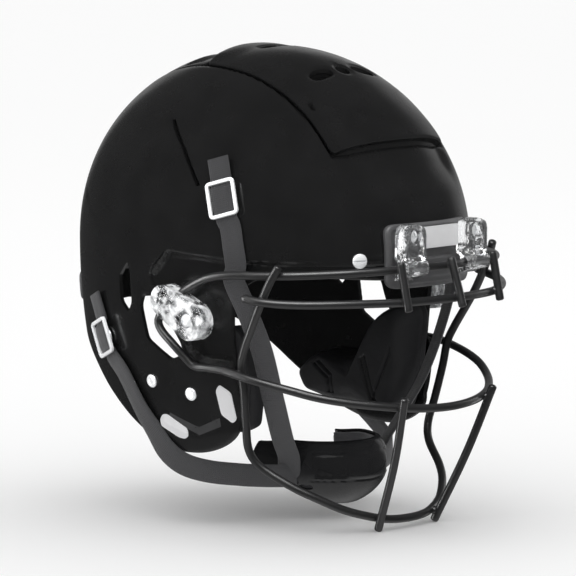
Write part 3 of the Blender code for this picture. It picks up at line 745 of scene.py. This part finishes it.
def bumper():
    """Rubber block over the brow, with a sunk bed for the nameplate and two ribs under it."""
    o = densify(box_outline(0, 53, 41, 22, 8.0, 8), 1.5)

    def height(x, z):
        inner = away(box_outline(0, 54.5, 36.5, 16.5, 5.0), x, z)
        out = -1.5 * drop(-1.0, 0.6, inner)
        lip = (np.abs(x) < 30) * ramp(-0.6, 0.6, 51.0 - z) * ramp(-0.6, 0.6, z - 44.5)
        low = (np.abs(x) < 24) * ramp(-0.5, 0.5, 43.0 - z) * ramp(-0.5, 0.5, z - 34.5)
        return out + 2.0 * lip + 1.6 * low

    return cap("front_bumper_moulded", o, (0, 53), on_form("y", -1), over_edge(2.6, 0.5, 5.2), height,
               RUBBER, inner=30, sharp=45)


def nape_bumper():
    """Rubber strip along the nape, with a groove along its middle."""
    o = densify(box_outline(0, 13, 60, 10, 7.0, 8), 1.5)

    def height(x, z):
        return -0.8 * drop(0.3, 1.1, np.abs(z - 13)) * (np.abs(x) < 52)

    return cap("rear_bumper_moulded", o, (0, 13), on_form("y", 1), over_edge(1.4, 0.7, 3.4), height,
               RUBBER, inner=20, sharp=45)


def nameplate():
    """The silver plate on the bumper, blank, with a fine pressed border."""
    o = densify(box_outline(0, NAMEPLATE_Z, 19.6, 7.5, 1.4, 5), 1.5)
    rings = over_edge(0.4, 0.0, 1.6) + [(1.2, 1.6), (1.35, 1.4), (1.8, 1.4), (1.95, 1.6)]

    def place(a, b, h):
        return np.stack([a, 0 * a + NAMEPLATE_Y + 0.8 - h, b], -1)

    return cap("nameplate_blank", o, (0, NAMEPLATE_Z), place, rings, None, LABEL, inner=4)


JAW_LABEL = [(-41.0, -41.8), (-44.4, -37.2), (-52.8, -42.6), (-54.4, -61.4), (-51, -64.6), (-43, -59)]
LEDGE = ([(3, -61.3), (-22.5, -69.4), (-41, -61.2)], [(4, -65.6), (-23.2, -75.0), (-42, -67.4)])
LENS_LABEL = [(13.2, -66.6), (9.5, -63), (5.4, -62.6), (-13.1, -71), (-14.5, -75.5), (-11, -78.2),
              (-5.3, -77.8), (11.1, -70.6)]


def label(name, shape, s):
    """A blank film on the side s of the shell, with a fine pressed border."""
    o = densify(rounded(shape, 2.2), 1.5)
    rings = over_edge(0.2, 0.1, 0.55, 3) + [(0.9, 0.55), (1.0, 0.42), (1.35, 0.42), (1.45, 0.55)]
    return cap(name, o, o.mean(0), on_shell("x", s), rings, None, LABEL, inner=6)


def ledge(s):
    """The upper face of the step along the jaw flap, as a lighter strip: a painted highlight for the light it
    catches from above.
    """
    k = np.linspace(0, 2, 61)
    top, foot = (np.stack([np.interp(k, (0, 1, 2), c) for c in zip(*edge)], -1) for edge in LEDGE)
    place = on_shell("x", s)
    rows = []
    for share, h in ((0.0, -0.3), (0.05, 0.06), (0.3, 0.14), (0.7, 0.14), (0.95, 0.06), (1.0, -0.3)):
        q = top * (1 - share) + foot * share
        rows.append(place(q[:, 0], q[:, 1], np.full(len(k), h)))
    return add("jaw_ledge_" + TAG[s], np.stack(rows, 1).reshape(-1, 3), ring_faces(len(k), 6), LEDGE_PAINTED_HIGHLIGHT, 40)


# ------------------------------------------------------------- hardware

def slotted(name, p, axis, r, rise, cross=True):
    """A domed screw head with a driver recess."""
    prof = [(r * a, rise * b) for a, b in ((0.86, 0.0), (0.97, 0.08), (1.0, 0.3), (0.97, 0.5), (0.85, 0.75),
                                           (0.6, 0.93), (0.3, 1.0))]
    ob = turned(name, prof, p, axis, 40, CHROME)
    ax = unit(axis)
    u = unit(np.cross(ax, (0.11, 0.23, 0.97)))
    v = np.cross(ax, u)
    cutters = []
    for a, b in ((u, v), (v, u))[: 2 if cross else 1]:
        w, l = r * 0.12, r * (0.55 if cross else 1.3)
        c = np.asarray(p, float) + ax * rise * 0.55
        verts = [c + a * sa * l + b * sb * w + ax * h for h in (0, 3.0) for sa, sb in
                 ((-1, -1), (1, -1), (1, 1), (-1, 1))]
        cutters.append(add("c", verts, ring_faces(2, 4), None, None))
    return boolean(ob, cutters, sharp=30)


def snap_button(name, p, n):
    """A jaw pad snap, 9.4 mm across, facing along n."""
    prof = [(4.7 * a, h) for a, h in ((0.9, -0.4), (1, 0.0), (1, 0.5), (0.93, 0.95), (0.78, 1.25), (0.6, 1.3),
                                      (0.52, 1.1), (0.42, 1.05), (0.15, 1.1))]
    return turned(name, prof, p, n, 48, CHROME)


def arc(centre, r, start, step, count, u=(1, 0), v=(0, 1)):
    """Points (2D) on a circle about a centre; angles in degrees from u towards v."""
    turns = [radians(start + k * step) for k in range(count)]
    return [tuple(np.add(centre, r * (cos(t) * np.asarray(u) + sin(t) * np.asarray(v)))) for t in turns]


def front_clip(s):
    """Clear hook round the brow wire, with a counterbored screw seat above."""
    y, z = HINGE_Y, HINGE_Z
    inner, outer = WIRE_D / 2 + 0.5, WIRE_D / 2 + 3.0
    back, x = -149.9, s * CLIP_X
    prof = [(back, 76), (back, z + 6.6), (y + inner, z + 3.0), *arc((y, z), inner, 30, 15, 17)]
    prof += [(y + inner, z - 3.6), (back, z - 4.2), (back, z - 8.4), (y + 2.0, z - outer)]
    prof += arc((y, z), outer, -90, -12.5, 13)
    prof += [(back - 10.2, z + 10.5), (back - 10.2, 73.6), (back - 8.0, 76)]
    ob = prism("front_clip_clear_" + TAG[s], prof, "x", x - 10.5, x + 10.5, CLEAR)
    shape = rounded([(x - 10.6, 30), (x + 10.6, 30), (x + 10.6, 76.2), (x - 10.6, 76.2)], 9.5, 10)
    boolean(ob, [prism("c", shape, "y", -175, -140)], "INTERSECT")
    boolean(ob, [prism("c", oval(x, 68, 5.6, 5.6, 36), "y", -175, -155.2)])
    boolean(ob, [prism("c", box_outline(x, 56.2, 6.2, 2.4, 1.8), "y", -175, -157.6)])
    return bevel(ob, 0.55)


def side_clip(s):
    """Clear cap over the rear bend of the mask."""
    def block(name, outline, near, far, mat=None):
        return prism(name, outline, "x", *sorted((s * near, s * far)), mat)

    a, b = np.array([-15.0, 21.0]), np.array([-40.0, 8.0])
    d = unit(b - a)
    n = np.array([-d[1], d[0]])
    prof = np.array(arc(a, 11, 90, 22.5, 9, d, n) + arc(b, 13, -90, 22.5, 9, d, n))
    c = prof.mean(0)
    inner = c + (prof - c) * (1 - 2.4 / np.linalg.norm(prof - c, axis=1, keepdims=True))
    ob = block("side_clip_clear_" + TAG[s], densify(prof, 3.0), 121.0, 133.0, CLEAR_SIDE)
    boolean(ob, [block("c", inner, 118.0, 129.8)])
    screw = np.array([-38.0, 9.0])
    parts = [block("b", oval(*screw, 7.2, 7.2, 40), 119.4, 131.5)]
    for off in (-5.5, 5.5):
        mid = (a + b) / 2 + n * off
        rib = [mid + d * along + n * across for along, across in
               ((-16, -0.8), (6, -0.8), (6, 0.8), (-16, 0.8))]
        parts.append(block("b", rib, 128.4, 131.0))
    boolean(ob, parts, "UNION")
    boolean(ob, [block("c", oval(*screw, 5.4, 5.4, 36), 131.0, 140)])
    return bevel(ob, 0.7)


# ------------------------------------------------------------- face mask

def both_sides(half, closed=False):
    """One side of a wire and its mirror image; a closed wire also starts at X = 0."""
    half = np.array(half, float)
    return np.concatenate([half, half[int(closed):-1][::-1] * (-1, 1, 1)])


def mask_paths():
    """Corner points of the wires: two rings through the clips, the brow wire and the bars."""
    y, z = HINGE_Y, HINGE_Z
    loop = both_sides([
        (0, y - 3, z), (12, y - 2.4, z), (20, y - 0.4, z), (26, y, z), (40, y, z), (46, y + 0.8, z),
        (62, y + 8, z - 0.6), (82, -134, z - 1.6), (102, -112, z - 2.8), (114, -90, z - 3.6),
        (121, -68, 41.8), (124, -50, 38.5), (125, -34, 31.5), (125, -21, 22.5), (125, -10, 13.5),
        (125, -4, 6), (125, -7, -1), (124, -16, -9), (120, -25, -19), (117.5, -31, -24.5),
        (116, -42, -25), (114, -56, -26), (110, -80, -31), (101, -102, -36), (88, -121, -41.5),
        (71, -138, -45.5), (51, -152, -48.5), (27, -161, -51), (0, -164, -52)], closed=True)
    lower = both_sides([
        (112.2, -105.4, 49), (115, -98.6, 36), (115, -86, 12), (111, -71, -14), (107.5, -67, -26),
        (104, -66, -42), (99, -63, -65), (94, -61, -83), (88, -67, -95), (77, -86, -108),
        (66, -99, -116), (52, -110, -124), (38, -118, -129), (20, -124, -133), (0, -126, -134)])
    brow = both_sides([
        (122, -83, 27), (118.5, -97, 25), (107, -116, 24), (87, -136, 24), (66, -151, 24),
        (46, -161.5, 24), (24, -166.5, 24), (0, -168, 24)])
    short = [[(x, top, z + 4.5), (x, low, 19)] for x, top, low in
             ((-48, y - 3.4, -167.4), (0, y - 7.2, -174.6), (48, y - 3.4, -167.4))]
    chin = [[(s * 46.5, -162.6, -43), (s * 38, -146, -90), (s * 29.5, -123.7, -139)] for s in (-1, 1)]
    return loop, lower, brow, short, chin


def face_mask():
    """Every wire of the mask, united, with a bead of weld where wires cross."""
    loop, lower, brow, short, chin = mask_paths()
    wires = [resample(loop, 420, closed=True), resample(lower, 240), resample(brow, 130)]
    wires += [resample(bar, 20) for bar in short] + [resample(bar, 50) for bar in chin]
    touching, bead = WIRE_D + 0.1, 3.1
    ob = tube("face_mask_wires", wires[0], WIRE_D / 2, 20, WIRE, closed=True)
    others = [tube("w", w, WIRE_D / 2, 20) for w in wires[1:]]
    for i, one in enumerate(wires):
        for other in wires[i + 1:]:
            gap = np.linalg.norm(one[:, None] - other[None], axis=2)
            near = np.argwhere((gap < touching) & (gap == gap.min(1)[:, None]))
            for group in split_runs(near[:, 0]):
                k = group[int(np.argmin(gap[group].min(1)))]
                others.append(ball((one[k] + other[int(np.argmin(gap[k]))]) / 2, bead))
    return boolean(ob, others, "UNION", 50)


def split_runs(idx):
    """Groups of neighbouring indices."""
    groups, run = [], []
    for i in sorted(int(k) for k in idx):
        if run and i - run[-1] > 6:
            groups.append(np.array(run))
            run = []
        run.append(i)
    if run:
        groups.append(np.array(run))
    return groups


def ball(c, r):
    """A bead of radius r, from rings about the vertical."""
    w = 2 * pi * np.arange(12) / 12
    rings = [np.asarray(c) + r * np.stack([cos(a) * np.cos(w), cos(a) * np.sin(w), np.full(12, sin(a))], -1)
             for a in np.linspace(-pi / 2 + 0.25, pi / 2 - 0.25, 7)]
    return add("ball", np.concatenate(rings), ring_faces(7, 12), None, None)


# ------------------------------------------------------------- chin strap

def strap(name, path, across):
    """Webbing along a path, with soft edges and UVs in strap widths."""
    p = np.asarray(path, float)
    t = unit(np.gradient(p, axis=0))
    w = np.asarray(across, float)
    w = unit(w - t * (w * t).sum(1)[:, None])
    n = np.cross(t, w)
    hw, ht, e = STRAP_W / 2, STRAP_T / 2, STRAP_T * 0.45
    sect = [(-hw, -ht + e), (-hw + e, -ht), (-hw / 3, -ht), (hw / 3, -ht), (hw - e, -ht), (hw, -ht + e)]
    sect += [(-a, -b) for a, b in sect]
    verts = np.concatenate([[p[i] + w[i] * a + n[i] * b for a, b in sect] for i in range(len(p))])
    ob = add(name, verts, ring_faces(len(p), len(sect)), WEB, 60)
    run = np.concatenate([[0], np.cumsum(np.linalg.norm(np.diff(p, axis=0), axis=1))]) / STRAP_W
    uv = ob.data.uv_layers.new(name="weave")
    for loop in ob.data.loops:
        i, k = divmod(loop.vertex_index, len(sect))
        uv.data[loop.index].uv = (sect[k][0] / STRAP_W + 0.5, run[i])
    return ob


def buckle(name, centre, along):
    """Chrome frame of flat bar and the snap socket under it."""
    c = np.asarray(centre, float)
    n = normals(c[None])[0]
    t = unit(along - n * (along @ n))
    w = np.cross(n, t)
    rows = []
    for inset, h in ((0.5, 4.2), (0.0, 4.6), (0.0, 6.2), (0.5, 6.6), (2.1, 6.6), (2.5, 6.2), (2.5, 4.6),
                     (2.1, 4.2)):
        o = box_outline(0, 0, 13.2 - inset, 11.1 - inset, max(0.8, 3.6 - inset), 7)
        rows.append([c + t * a + w * b + n * h for a, b in o])
    faces = ring_faces(len(rows), len(rows[0]), closed=True)
    frame_ob = add("buckle_bar_" + name, np.concatenate(rows), faces, CHROME, 35)
    prof = [(5.6, 0.9), (6.2, 1.0), (6.4, 1.6), (6.2, 2.4), (5.6, 3.0), (4.2, 3.2), (3.6, 2.9), (1.2, 2.9)]
    sock = turned("snap_socket_turned_" + name, prof, c, n, 40, CHROME)
    return frame_ob, sock, (c, n, t, w)


def strap_through(fr, lead, tail):
    """The webbing's points from its free end, over the buckle's bars, to the tail."""
    c, n, t, w = fr
    steps = [(lead, 1.9), (14.5, 1.9), (11.5, 2.0), (7.5, 4.6), (0, 4.9), (-7.5, 4.6), (-11.5, 2.0),
             (-15, 1.9)]
    return [c + t * s + n * h for s, h in steps] + [np.asarray(p, float) for p in tail], w


def chin_cup():
    """Hard cup with its pressed panels, and the soft liner in it."""
    radii = np.array([45.0, 47.0, 34.0])
    mid_y, mid_z, wall = -45.0, -101.0, 2.8

    def grid(radii, nu, nv, form=None, trim=0.0):
        psi = np.linspace(-126 + trim, 126 - trim, nu + 1)
        v = np.linspace(0, 1, nv + 1)
        P, V = np.meshgrid(np.radians(psi), v)
        top = np.radians(33 - 6 * smooth(80, 126, np.abs(np.degrees(P))) - trim)
        bot = np.radians(-22 - 40 * np.clip(np.cos(P), 0, 1) ** 0.7 + trim)
        E = bot + (top - bot) * V
        k = 1.0 + (form(np.degrees(P), np.degrees(E), V) / 45.0 if form else 0.0)
        wide = np.where(np.abs(P) < pi / 2, np.sin(P), np.sign(P))
        return (0, mid_y, mid_z) + radii * np.stack(
            [k * wide * np.cos(E), -k * np.cos(P) * np.cos(E), k * np.sin(E)], -1)

    def panels(P, E, V):
        a = np.abs(P)
        side_d = np.maximum(np.abs(a - 42.5) - 13.5, np.abs(E - 1.0) - 13.5)
        mid_d = np.maximum(a - 25.0, np.abs(E - 1.0) - 14.5)
        seam = np.maximum(a - 60.0, np.abs(E - 1.0) - 17.0)
        out = -1.7 * drop(-1.6, 0.4, side_d) + 0.5 * drop(-1.2, 0.6, mid_d)
        out = out - 0.5 * drop(0.2, 1.1, np.abs(seam)) * (a < 66)
        roll = -1.2 * fade(0.0, 0.05, V) - 1.2 * fade(0.0, 0.04, 1 - V)
        return out + roll

    nu, nv = 200, 54
    outer = grid(radii, nu, nv, panels)
    inner = grid(radii - wall, nu, nv)
    cup = sheet_solid("chin_cup_moulded", outer, inner, CUP)
    slots = []
    for s in (-1, 1):
        p = np.radians(s * 66.0)
        c = (0, mid_y, -115.5) + 0.92 * radii * (np.sin(p), -np.cos(p), 0)
        out_dir = unit([np.sin(p), -np.cos(p), -0.25])
        u = unit(np.cross(out_dir, (0, 0, 1)))
        v = np.cross(u, out_dir)
        o = oval(0, 0, 5.2, 2.2, 24, 2.6)
        verts = [c + out_dir * h + u * a + v * b for h in (-14, 14) for a, b in o]
        slots.append(add("c", verts, ring_faces(2, 24), None, None))
    boolean(cup, slots, sharp=40)

    def soft(P, _, V):
        edge = np.minimum(V, 1 - V) * 40
        return 0.4 * np.cos(np.radians(P) * 9) * smooth(0, 6, edge) - 1.8 * fade(0, 5, edge)

    lin_out = grid(radii - wall - 0.6, 120, 30, None, 2.0)
    lin_in = grid(radii - (10, 10, 9.5), 120, 30, lambda P, E, V: -soft(P, E, V), 2.0)
    liner = sheet_solid("chin_cup_pad", lin_out, lin_in, FOAM)
    return cup, liner


def sheet_solid(name, outer, inner, mat):
    """A closed sheet between two grids of the same size, with a rounded border."""
    rows, cols = outer.shape[0], outer.shape[1]
    edge = [(0, j) for j in range(cols)] + [(i, cols - 1) for i in range(1, rows)]
    edge += [(rows - 1, j) for j in range(cols - 2, -1, -1)] + [(i, 0) for i in range(rows - 2, 0, -1)]
    verts = list(outer.reshape(-1, 3)) + list(inner.reshape(-1, 3))
    off = rows * cols
    faces = []
    for i in range(rows - 1):
        for j in range(cols - 1):
            a, b = i * cols + j, (i + 1) * cols + j
            faces.append((a, a + 1, b + 1, b))
            faces.append((off + b, off + b + 1, off + a + 1, off + a))
    base = len(verts)
    for i, j in edge:
        o, n = outer[i, j], inner[i, j]
        ii, jj = min(max(i, 1), rows - 2), min(max(j, 1), cols - 2)
        outward = unit(o - outer[ii, jj])
        verts.append((o + n) / 2 + outward * np.linalg.norm(o - n) * 0.3)
    m = len(edge)
    for k in range(m):
        a, b = edge[k], edge[(k + 1) % m]
        ao, bo = a[0] * cols + a[1], b[0] * cols + b[1]
        k2 = base + (k + 1) % m
        faces.append((bo, ao, base + k, k2))
        faces.append((k2, base + k, off + ao, off + bo))
    return add(name, verts, faces, mat, 40)


# ------------------------------------------------------------- liner

def pad(name, axis, side, centre, half, hi, grooves):
    """A crowned pad hung inside the shell, with a welt round its edge and pressed channels."""
    o = densify(oval(*centre, *half, 72, 4.5), 2.5)
    lo, crown = 9.5, 3.0
    thick = hi - lo

    def height(a, b):
        u, v = (a - centre[0]) / half[0], (b - centre[1]) / half[1]
        e = 1 - np.clip(np.maximum(np.abs(u), np.abs(v)), 0, 1) ** 2
        return crown * (e - 1.0) - grooves(a, b)

    rings = [(3.0, lo), (0.8, lo), (0.0, lo + 0.8), (0.0, lo + 1.8), (1.0, lo + 2.4), (1.2, lo + 3.4),
             (0.6, lo + thick * 0.35), *((0.6 + inset, h) for inset, h in rolled(thick * 0.42, hi, 5))]
    ob = cap(name, o, centre, on_form(axis, side, -1.0), rings, height, VINYL, inner=26, sharp=60)
    return ob


def channel(value, width=2.2, depth=3.0):
    """Depth of a pressed seam at the distance value from its line."""
    return depth * np.exp(-(value / width) ** 2)


JAW = [(-58, -4), (-50, 4), (-40, 1), (-31, -8), (-27, -21), (-17, -33), (4, -39), (28, -36),
       (38, -42), (49, -53), (42, -66), (8, -75), (-34, -75), (-54, -71), (-59, -40)]
JAW_MIDDLE = (-8.0, -54.0)
JAW_SEAMS = [[(34, -40), (10.5, -54.5), (10.5, -74)], [(30, -38), (7, -52), (7, -74)],
             [(-21.3, -38), (-33, -74)], [(-24.6, -36), (-36.3, -74)], [(-50.5, -24), (-30, -70)],
             [(-57, -38), (-41, -72)]]


def jaw_pad(s):
    """Thick faceted jaw pad, a padded block with pressed seams between its facets."""
    o = densify(rounded(JAW, 5.0, 6), 1.3)
    c = np.array(JAW_MIDDLE)
    face_x = 66.0
    outer_x = np.abs(onto("x", s, o[:, 0], o[:, 1], -9.0)[:, 0])
    d = o - c
    dist = np.linalg.norm(d, axis=1, keepdims=True)

    def loop(q, x):
        return np.stack([s * (x + np.zeros(len(q))), q[:, 0], q[:, 1]], -1)

    loops = [loop(c + d * k, outer_x * 0.998) for k in (0.3, 0.7)]
    for inset, share in ((1.2, 0.0), (0.0, 0.04), (0.0, 0.1), (1.1, 0.13), (1.1, 0.18), (0.2, 0.22),
                         (0.4, 0.4), (1.6, 0.6), (2.4, 0.7), (3.4, 0.8), (5.0, 0.88), (7.4, 0.95),
                         (9.5, 0.985), (11.5, 1.0)):
        edge = c + d * (1 - inset / dist)
        loops.append(loop(edge, outer_x - (outer_x - face_x) * share))
    for k in np.linspace(1, 0.03, 52)[1:]:
        q = c + (edge - c) * k
        groove = sum(channel(off_line(seam, q[:, 0], q[:, 1]), 1.0, 2.2) for seam in JAW_SEAMS)
        loops.append(loop(q, face_x - 2.2 * (1 - k * k) + groove))
    ob = add("jaw_pad_soft_" + TAG[s], np.concatenate(loops), ring_faces(len(loops), len(o)), VINYL, 60)
    return ob


# ------------------------------------------------------------- everything in place

ride(shell_piece(), "shell", "shell", slot="shell")
plate_front, plate_rear = crown_plates()
ride(plate_front, "shell", "front_crown_plate", slot="plate")
ride(plate_rear, "shell", "rear_crown_plate", slot="plate")
ride(bumper(), "shell", "front_bumper", slot="rubber")
ride(nape_bumper(), "shell", "rear_bumper", slot="rubber")
ride(nameplate(), "shell", "nameplate", slot="label")
ride(face_mask(), "face_mask", "face_mask", slot="wire")


def hang(s, which, at, along, lead, over, tail, count):
    """A buckle on the shell, and its strap over the shell at over = (y, z, height) and on to the cup."""
    name = which + "_" + TAG[s]
    c = onto("x", s, [at[0]], [at[1]], 0.0)[0]
    bar, sock, fr = buckle(name, c, unit(np.array(along) * (s, 1, 1)))
    ride(bar, "buckle_frame_" + name, "buckle_frame_" + name, slot="chrome")
    ride(sock, "shell", "snap_socket_" + name, slot="chrome")
    pts, across = strap_through(fr, lead, [*onto("x", s, *over), *(np.array(tail) * (s, 1, 1))])
    path = resample(pts, count)
    across = np.tile(across, (len(path), 1))
    if which == "lower":
        # flat on the shell at first, then turned to lie flat on the cup
        share = smooth(0.35, 0.75, np.linspace(0, 1, len(path)))[:, None]
        facing = normals(path) * (1 - share) + share * np.array([s * 0.75, -0.65, 0.05])
        across = np.cross(facing, unit(np.gradient(path, axis=0)))
    ride(strap(which + "_strap_woven_" + TAG[s], path, across), "shell", which + "_strap_" + TAG[s],
         slot="webbing")


for s in (-1, 1):
    tag = TAG[s]
    ride(front_clip(s), "shell", "front_clip_" + tag, slot="clear")
    ride(side_clip(s), "face_mask", "side_clip_" + tag, slot="clear")
    ride(slotted("front_clip_bolt_" + tag, (s * CLIP_X, -155.4, 68), (0, -1, 0), 4.7, 2.8), "shell",
         "front_clip_screw_" + tag, slot="chrome")
    ride(slotted("side_clip_bolt_" + tag, (s * 131.2, -38, 9), (s, 0, 0), 4.6, 2.8), "face_mask",
         "side_clip_screw_" + tag, slot="chrome")
    p = onto("y", -1, [s * 57.0], [51.0], 0.4)
    ride(slotted("brow_bolt_" + tag, p[0], normals(p)[0], 5.2, 2.2, cross=False), "shell",
         "brow_screw_" + tag, slot="chrome")
    for at, y, z in (("rear", 16.5, -40), ("front", -20, -46)):
        p = onto("x", s, [y], [z], 0.0)
        p = p + normals(p) * (moulding(p)[:, None] + 0.4)
        ride(snap_button("jaw_button_%s_%s" % (at, tag), p[0], normals(p)[0]), "shell",
             "jaw_snap_%s_%s" % (at, tag), slot="chrome")
    ride(label("jaw_film_" + tag, JAW_LABEL, s), "shell", "jaw_label_" + tag, slot="label")
    ride(ledge(s), "shell", slot="shell")
    ride(label("side_film_" + tag, LENS_LABEL, s), "shell", "side_label_" + tag, slot="label")
    ride(jaw_pad(s), "jaw_pad_" + tag, "jaw_pad_" + tag, slot="pad")
    ride(pad("side_pad_soft_" + tag, "x", s, (-3, 76), (42, 34), 27.0,
             lambda a, b: channel(a + 3) + channel(b - 76)), "shell", "side_pad_" + tag, slot="pad")
    hang(s, "upper", (-50.5, 91.5), (-0.25, 0.40, 1.0), 30.0, ([-58, -61, -63], [73, 60, 47], 1.9),
         [(112, -64, 37), (106.5, -71, 16), (94, -73, -12), (78, -69, -48), (60, -61, -78),
          (50.5, -58, -92), (46.5, -55, -101), (43.0, -53, -110)], 220)
    hang(s, "lower", (64, -13), (0.0, 0.42, 1.0), 32.0, ([44, 30, 19], [-37, -59, -74], 3.4),
         [(107.5, 5, -88.5), (104.5, -9, -97), (95.5, -24, -101.5), (80, -38, -104), (66, -47, -105.5),
          (52.5, -53, -106.5), (41.0, -57, -107)], 240)

for name, *form, grooves in (
        ("crown_pad", "z", 1, (0, 5), (44, 52), 27.0, lambda a, b: channel(a) + channel(b - 5)),
        ("front_pad", "y", -1, (0, 78), (62, 30), 25.0, lambda a, b: channel(np.abs(a) - 21)),
        ("rear_pad", "y", 1, (0, 60), (58, 40), 27.0,
         lambda a, b: channel(np.abs(a) - 20) + channel(b - 60))):
    ride(pad(name + "_soft", *form, grooves), "shell", name, slot="pad")
cup, cup_pad = chin_cup()
ride(cup, "shell", "chin_cup", slot="cup")
ride(cup_pad, "shell", "chin_cup_liner", slot="foam")


# ------------------------------------------------------------- camera, light and floor

def look():
    """The photograph's view: a long lens from the wearer's front right, slightly above."""
    th, el, distance = radians(47.0), radians(7.0), 3.56125
    back = Vector((-sin(th) * cos(el), -cos(th) * cos(el), sin(el)))
    right = Vector((cos(th), -sin(th), 0.0))
    up = Vector((sin(th) * sin(el), cos(th) * sin(el), cos(el)))
    cam = bpy.data.cameras.new("camera")
    ob = bpy.data.objects.new("camera", cam)
    bpy.context.scene.collection.objects.link(ob)
    m = Matrix((right, up, back)).transposed().to_4x4()
    m.translation = Vector(PLACE * MM) + back * distance
    ob.matrix_world = m
    cam.sensor_width, cam.lens, cam.clip_end = 36.0, 312.5, 100.0
    cam.shift_x, cam.shift_y = 0.018924, 0.041493
    cam.dof.use_dof = False
    bpy.context.scene.camera = ob
    return right, up, back


def softbox(name, to, size, power):
    """A rectangular soft light in the direction to, facing the helmet."""
    light = bpy.data.lights.new(name, "AREA")
    light.shape, light.size, light.size_y = "RECTANGLE", size[0], size[1]
    light.energy = power
    ob = bpy.data.objects.new(name, light)
    bpy.context.scene.collection.objects.link(ob)
    d, middle, distance = Vector(to).normalized(), Vector((0, 0, 0.17)), 2.2
    ob.location = middle + d * distance
    ob.rotation_mode = "QUATERNION"
    ob.rotation_quaternion = (-d).to_track_quat("-Z", "Y")
    ob.visible_camera = False
    return ob


right, up, back = look()
softbox("top_light", up * 0.93 - back * 0.25 + right * 0.25, (1.6, 1.6), 2.5).visible_glossy = False
# the wires, clips and fittings are more highly polished, and get four cards of their own
for name, to, size, power, shown in (
        ("wire_card", up * 0.74 + back * 0.66 - right * 0.1, (1.6, 1.6), 50.0, BRIGHT),
        ("side_card", right * -1.0 + back * 0.15, (0.6, 2.4), 40.0, BRIGHT),
        ("far_card", right * 0.8 - back * 0.6 + up * 0.1, (0.4, 2.4), 9.0, BRIGHT),
        ("metal_card", right * -0.5 + back * 0.75 + up * 0.55, (1.8, 1.8), 14.0, POLISHED)):
    softbox(name, to, size, power).light_linking.receiver_collection = shown

world = bpy.data.worlds.new("studio")
world.use_nodes = True
tree = world.node_tree
WHITE = (1, 1, 1, 1)
dirs = node(tree, "TexCoord", {}, out="Generated")


def glow(axis, near, far, level):
    """Extra brightness for directions within a cone about an axis."""
    dot = node(tree, "VectorMath", {0: dirs, 1: axis.normalized()}, "DOT_PRODUCT", "Value")
    lobe = node(tree, "MapRange", {"Value": dot, "From Min": far, "From Max": near, "To Min": 0.0,
                                   "To Max": level})
    lobe.node.interpolation_type = "SMOOTHSTEP"
    return lobe


# polished surfaces see a dim room, brighter to the upper right behind the helmet and at the floor
total = 0.055
for part in (glow(right * 0.42 + up * 0.26 - back * 0.87, 0.985, 0.88, 0.26),
             glow(up * 0.3 - back * 0.95 - right * 0.1, 0.99, 0.94, 0.3),
             glow(Vector((0, 0, -1)), 0.9, 0.35, 0.5)):
    total = node(tree, "Math", {0: total, 1: part}, "ADD")
room = node(tree, "Background", {"Color": WHITE, "Strength": total})
seen = node(tree, "Background", {"Color": WHITE, "Strength": 1.04})
polished_ray = node(tree, "LightPath", {}, out="Is Glossy Ray")
mixed = node(tree, "MixShader", {"Fac": polished_ray, 1: seen, 2: room})
tree.links.new(mixed, tree.nodes["World Output"].inputs["Surface"])
bpy.context.scene.world = world
bpy.context.scene.view_settings.view_transform = "Standard"

floor_mesh = bpy.data.meshes.new("floor")
floor_mesh.from_pydata([(x, y, -0.0006) for x, y in ((-20, -20), (20, -20), (20, 20), (-20, 20))], [],
                       [(0, 1, 2, 3)])
floor = bpy.data.objects.new("floor", floor_mesh)
bpy.context.scene.collection.objects.link(floor)
floor.visible_glossy = False
floor_mesh.materials.append(principled("pale_floor", {
    "Base Color": (0.95, 0.95, 0.95, 1), "Roughness": 0.9, "Specular IOR Level": 0.1})[0])
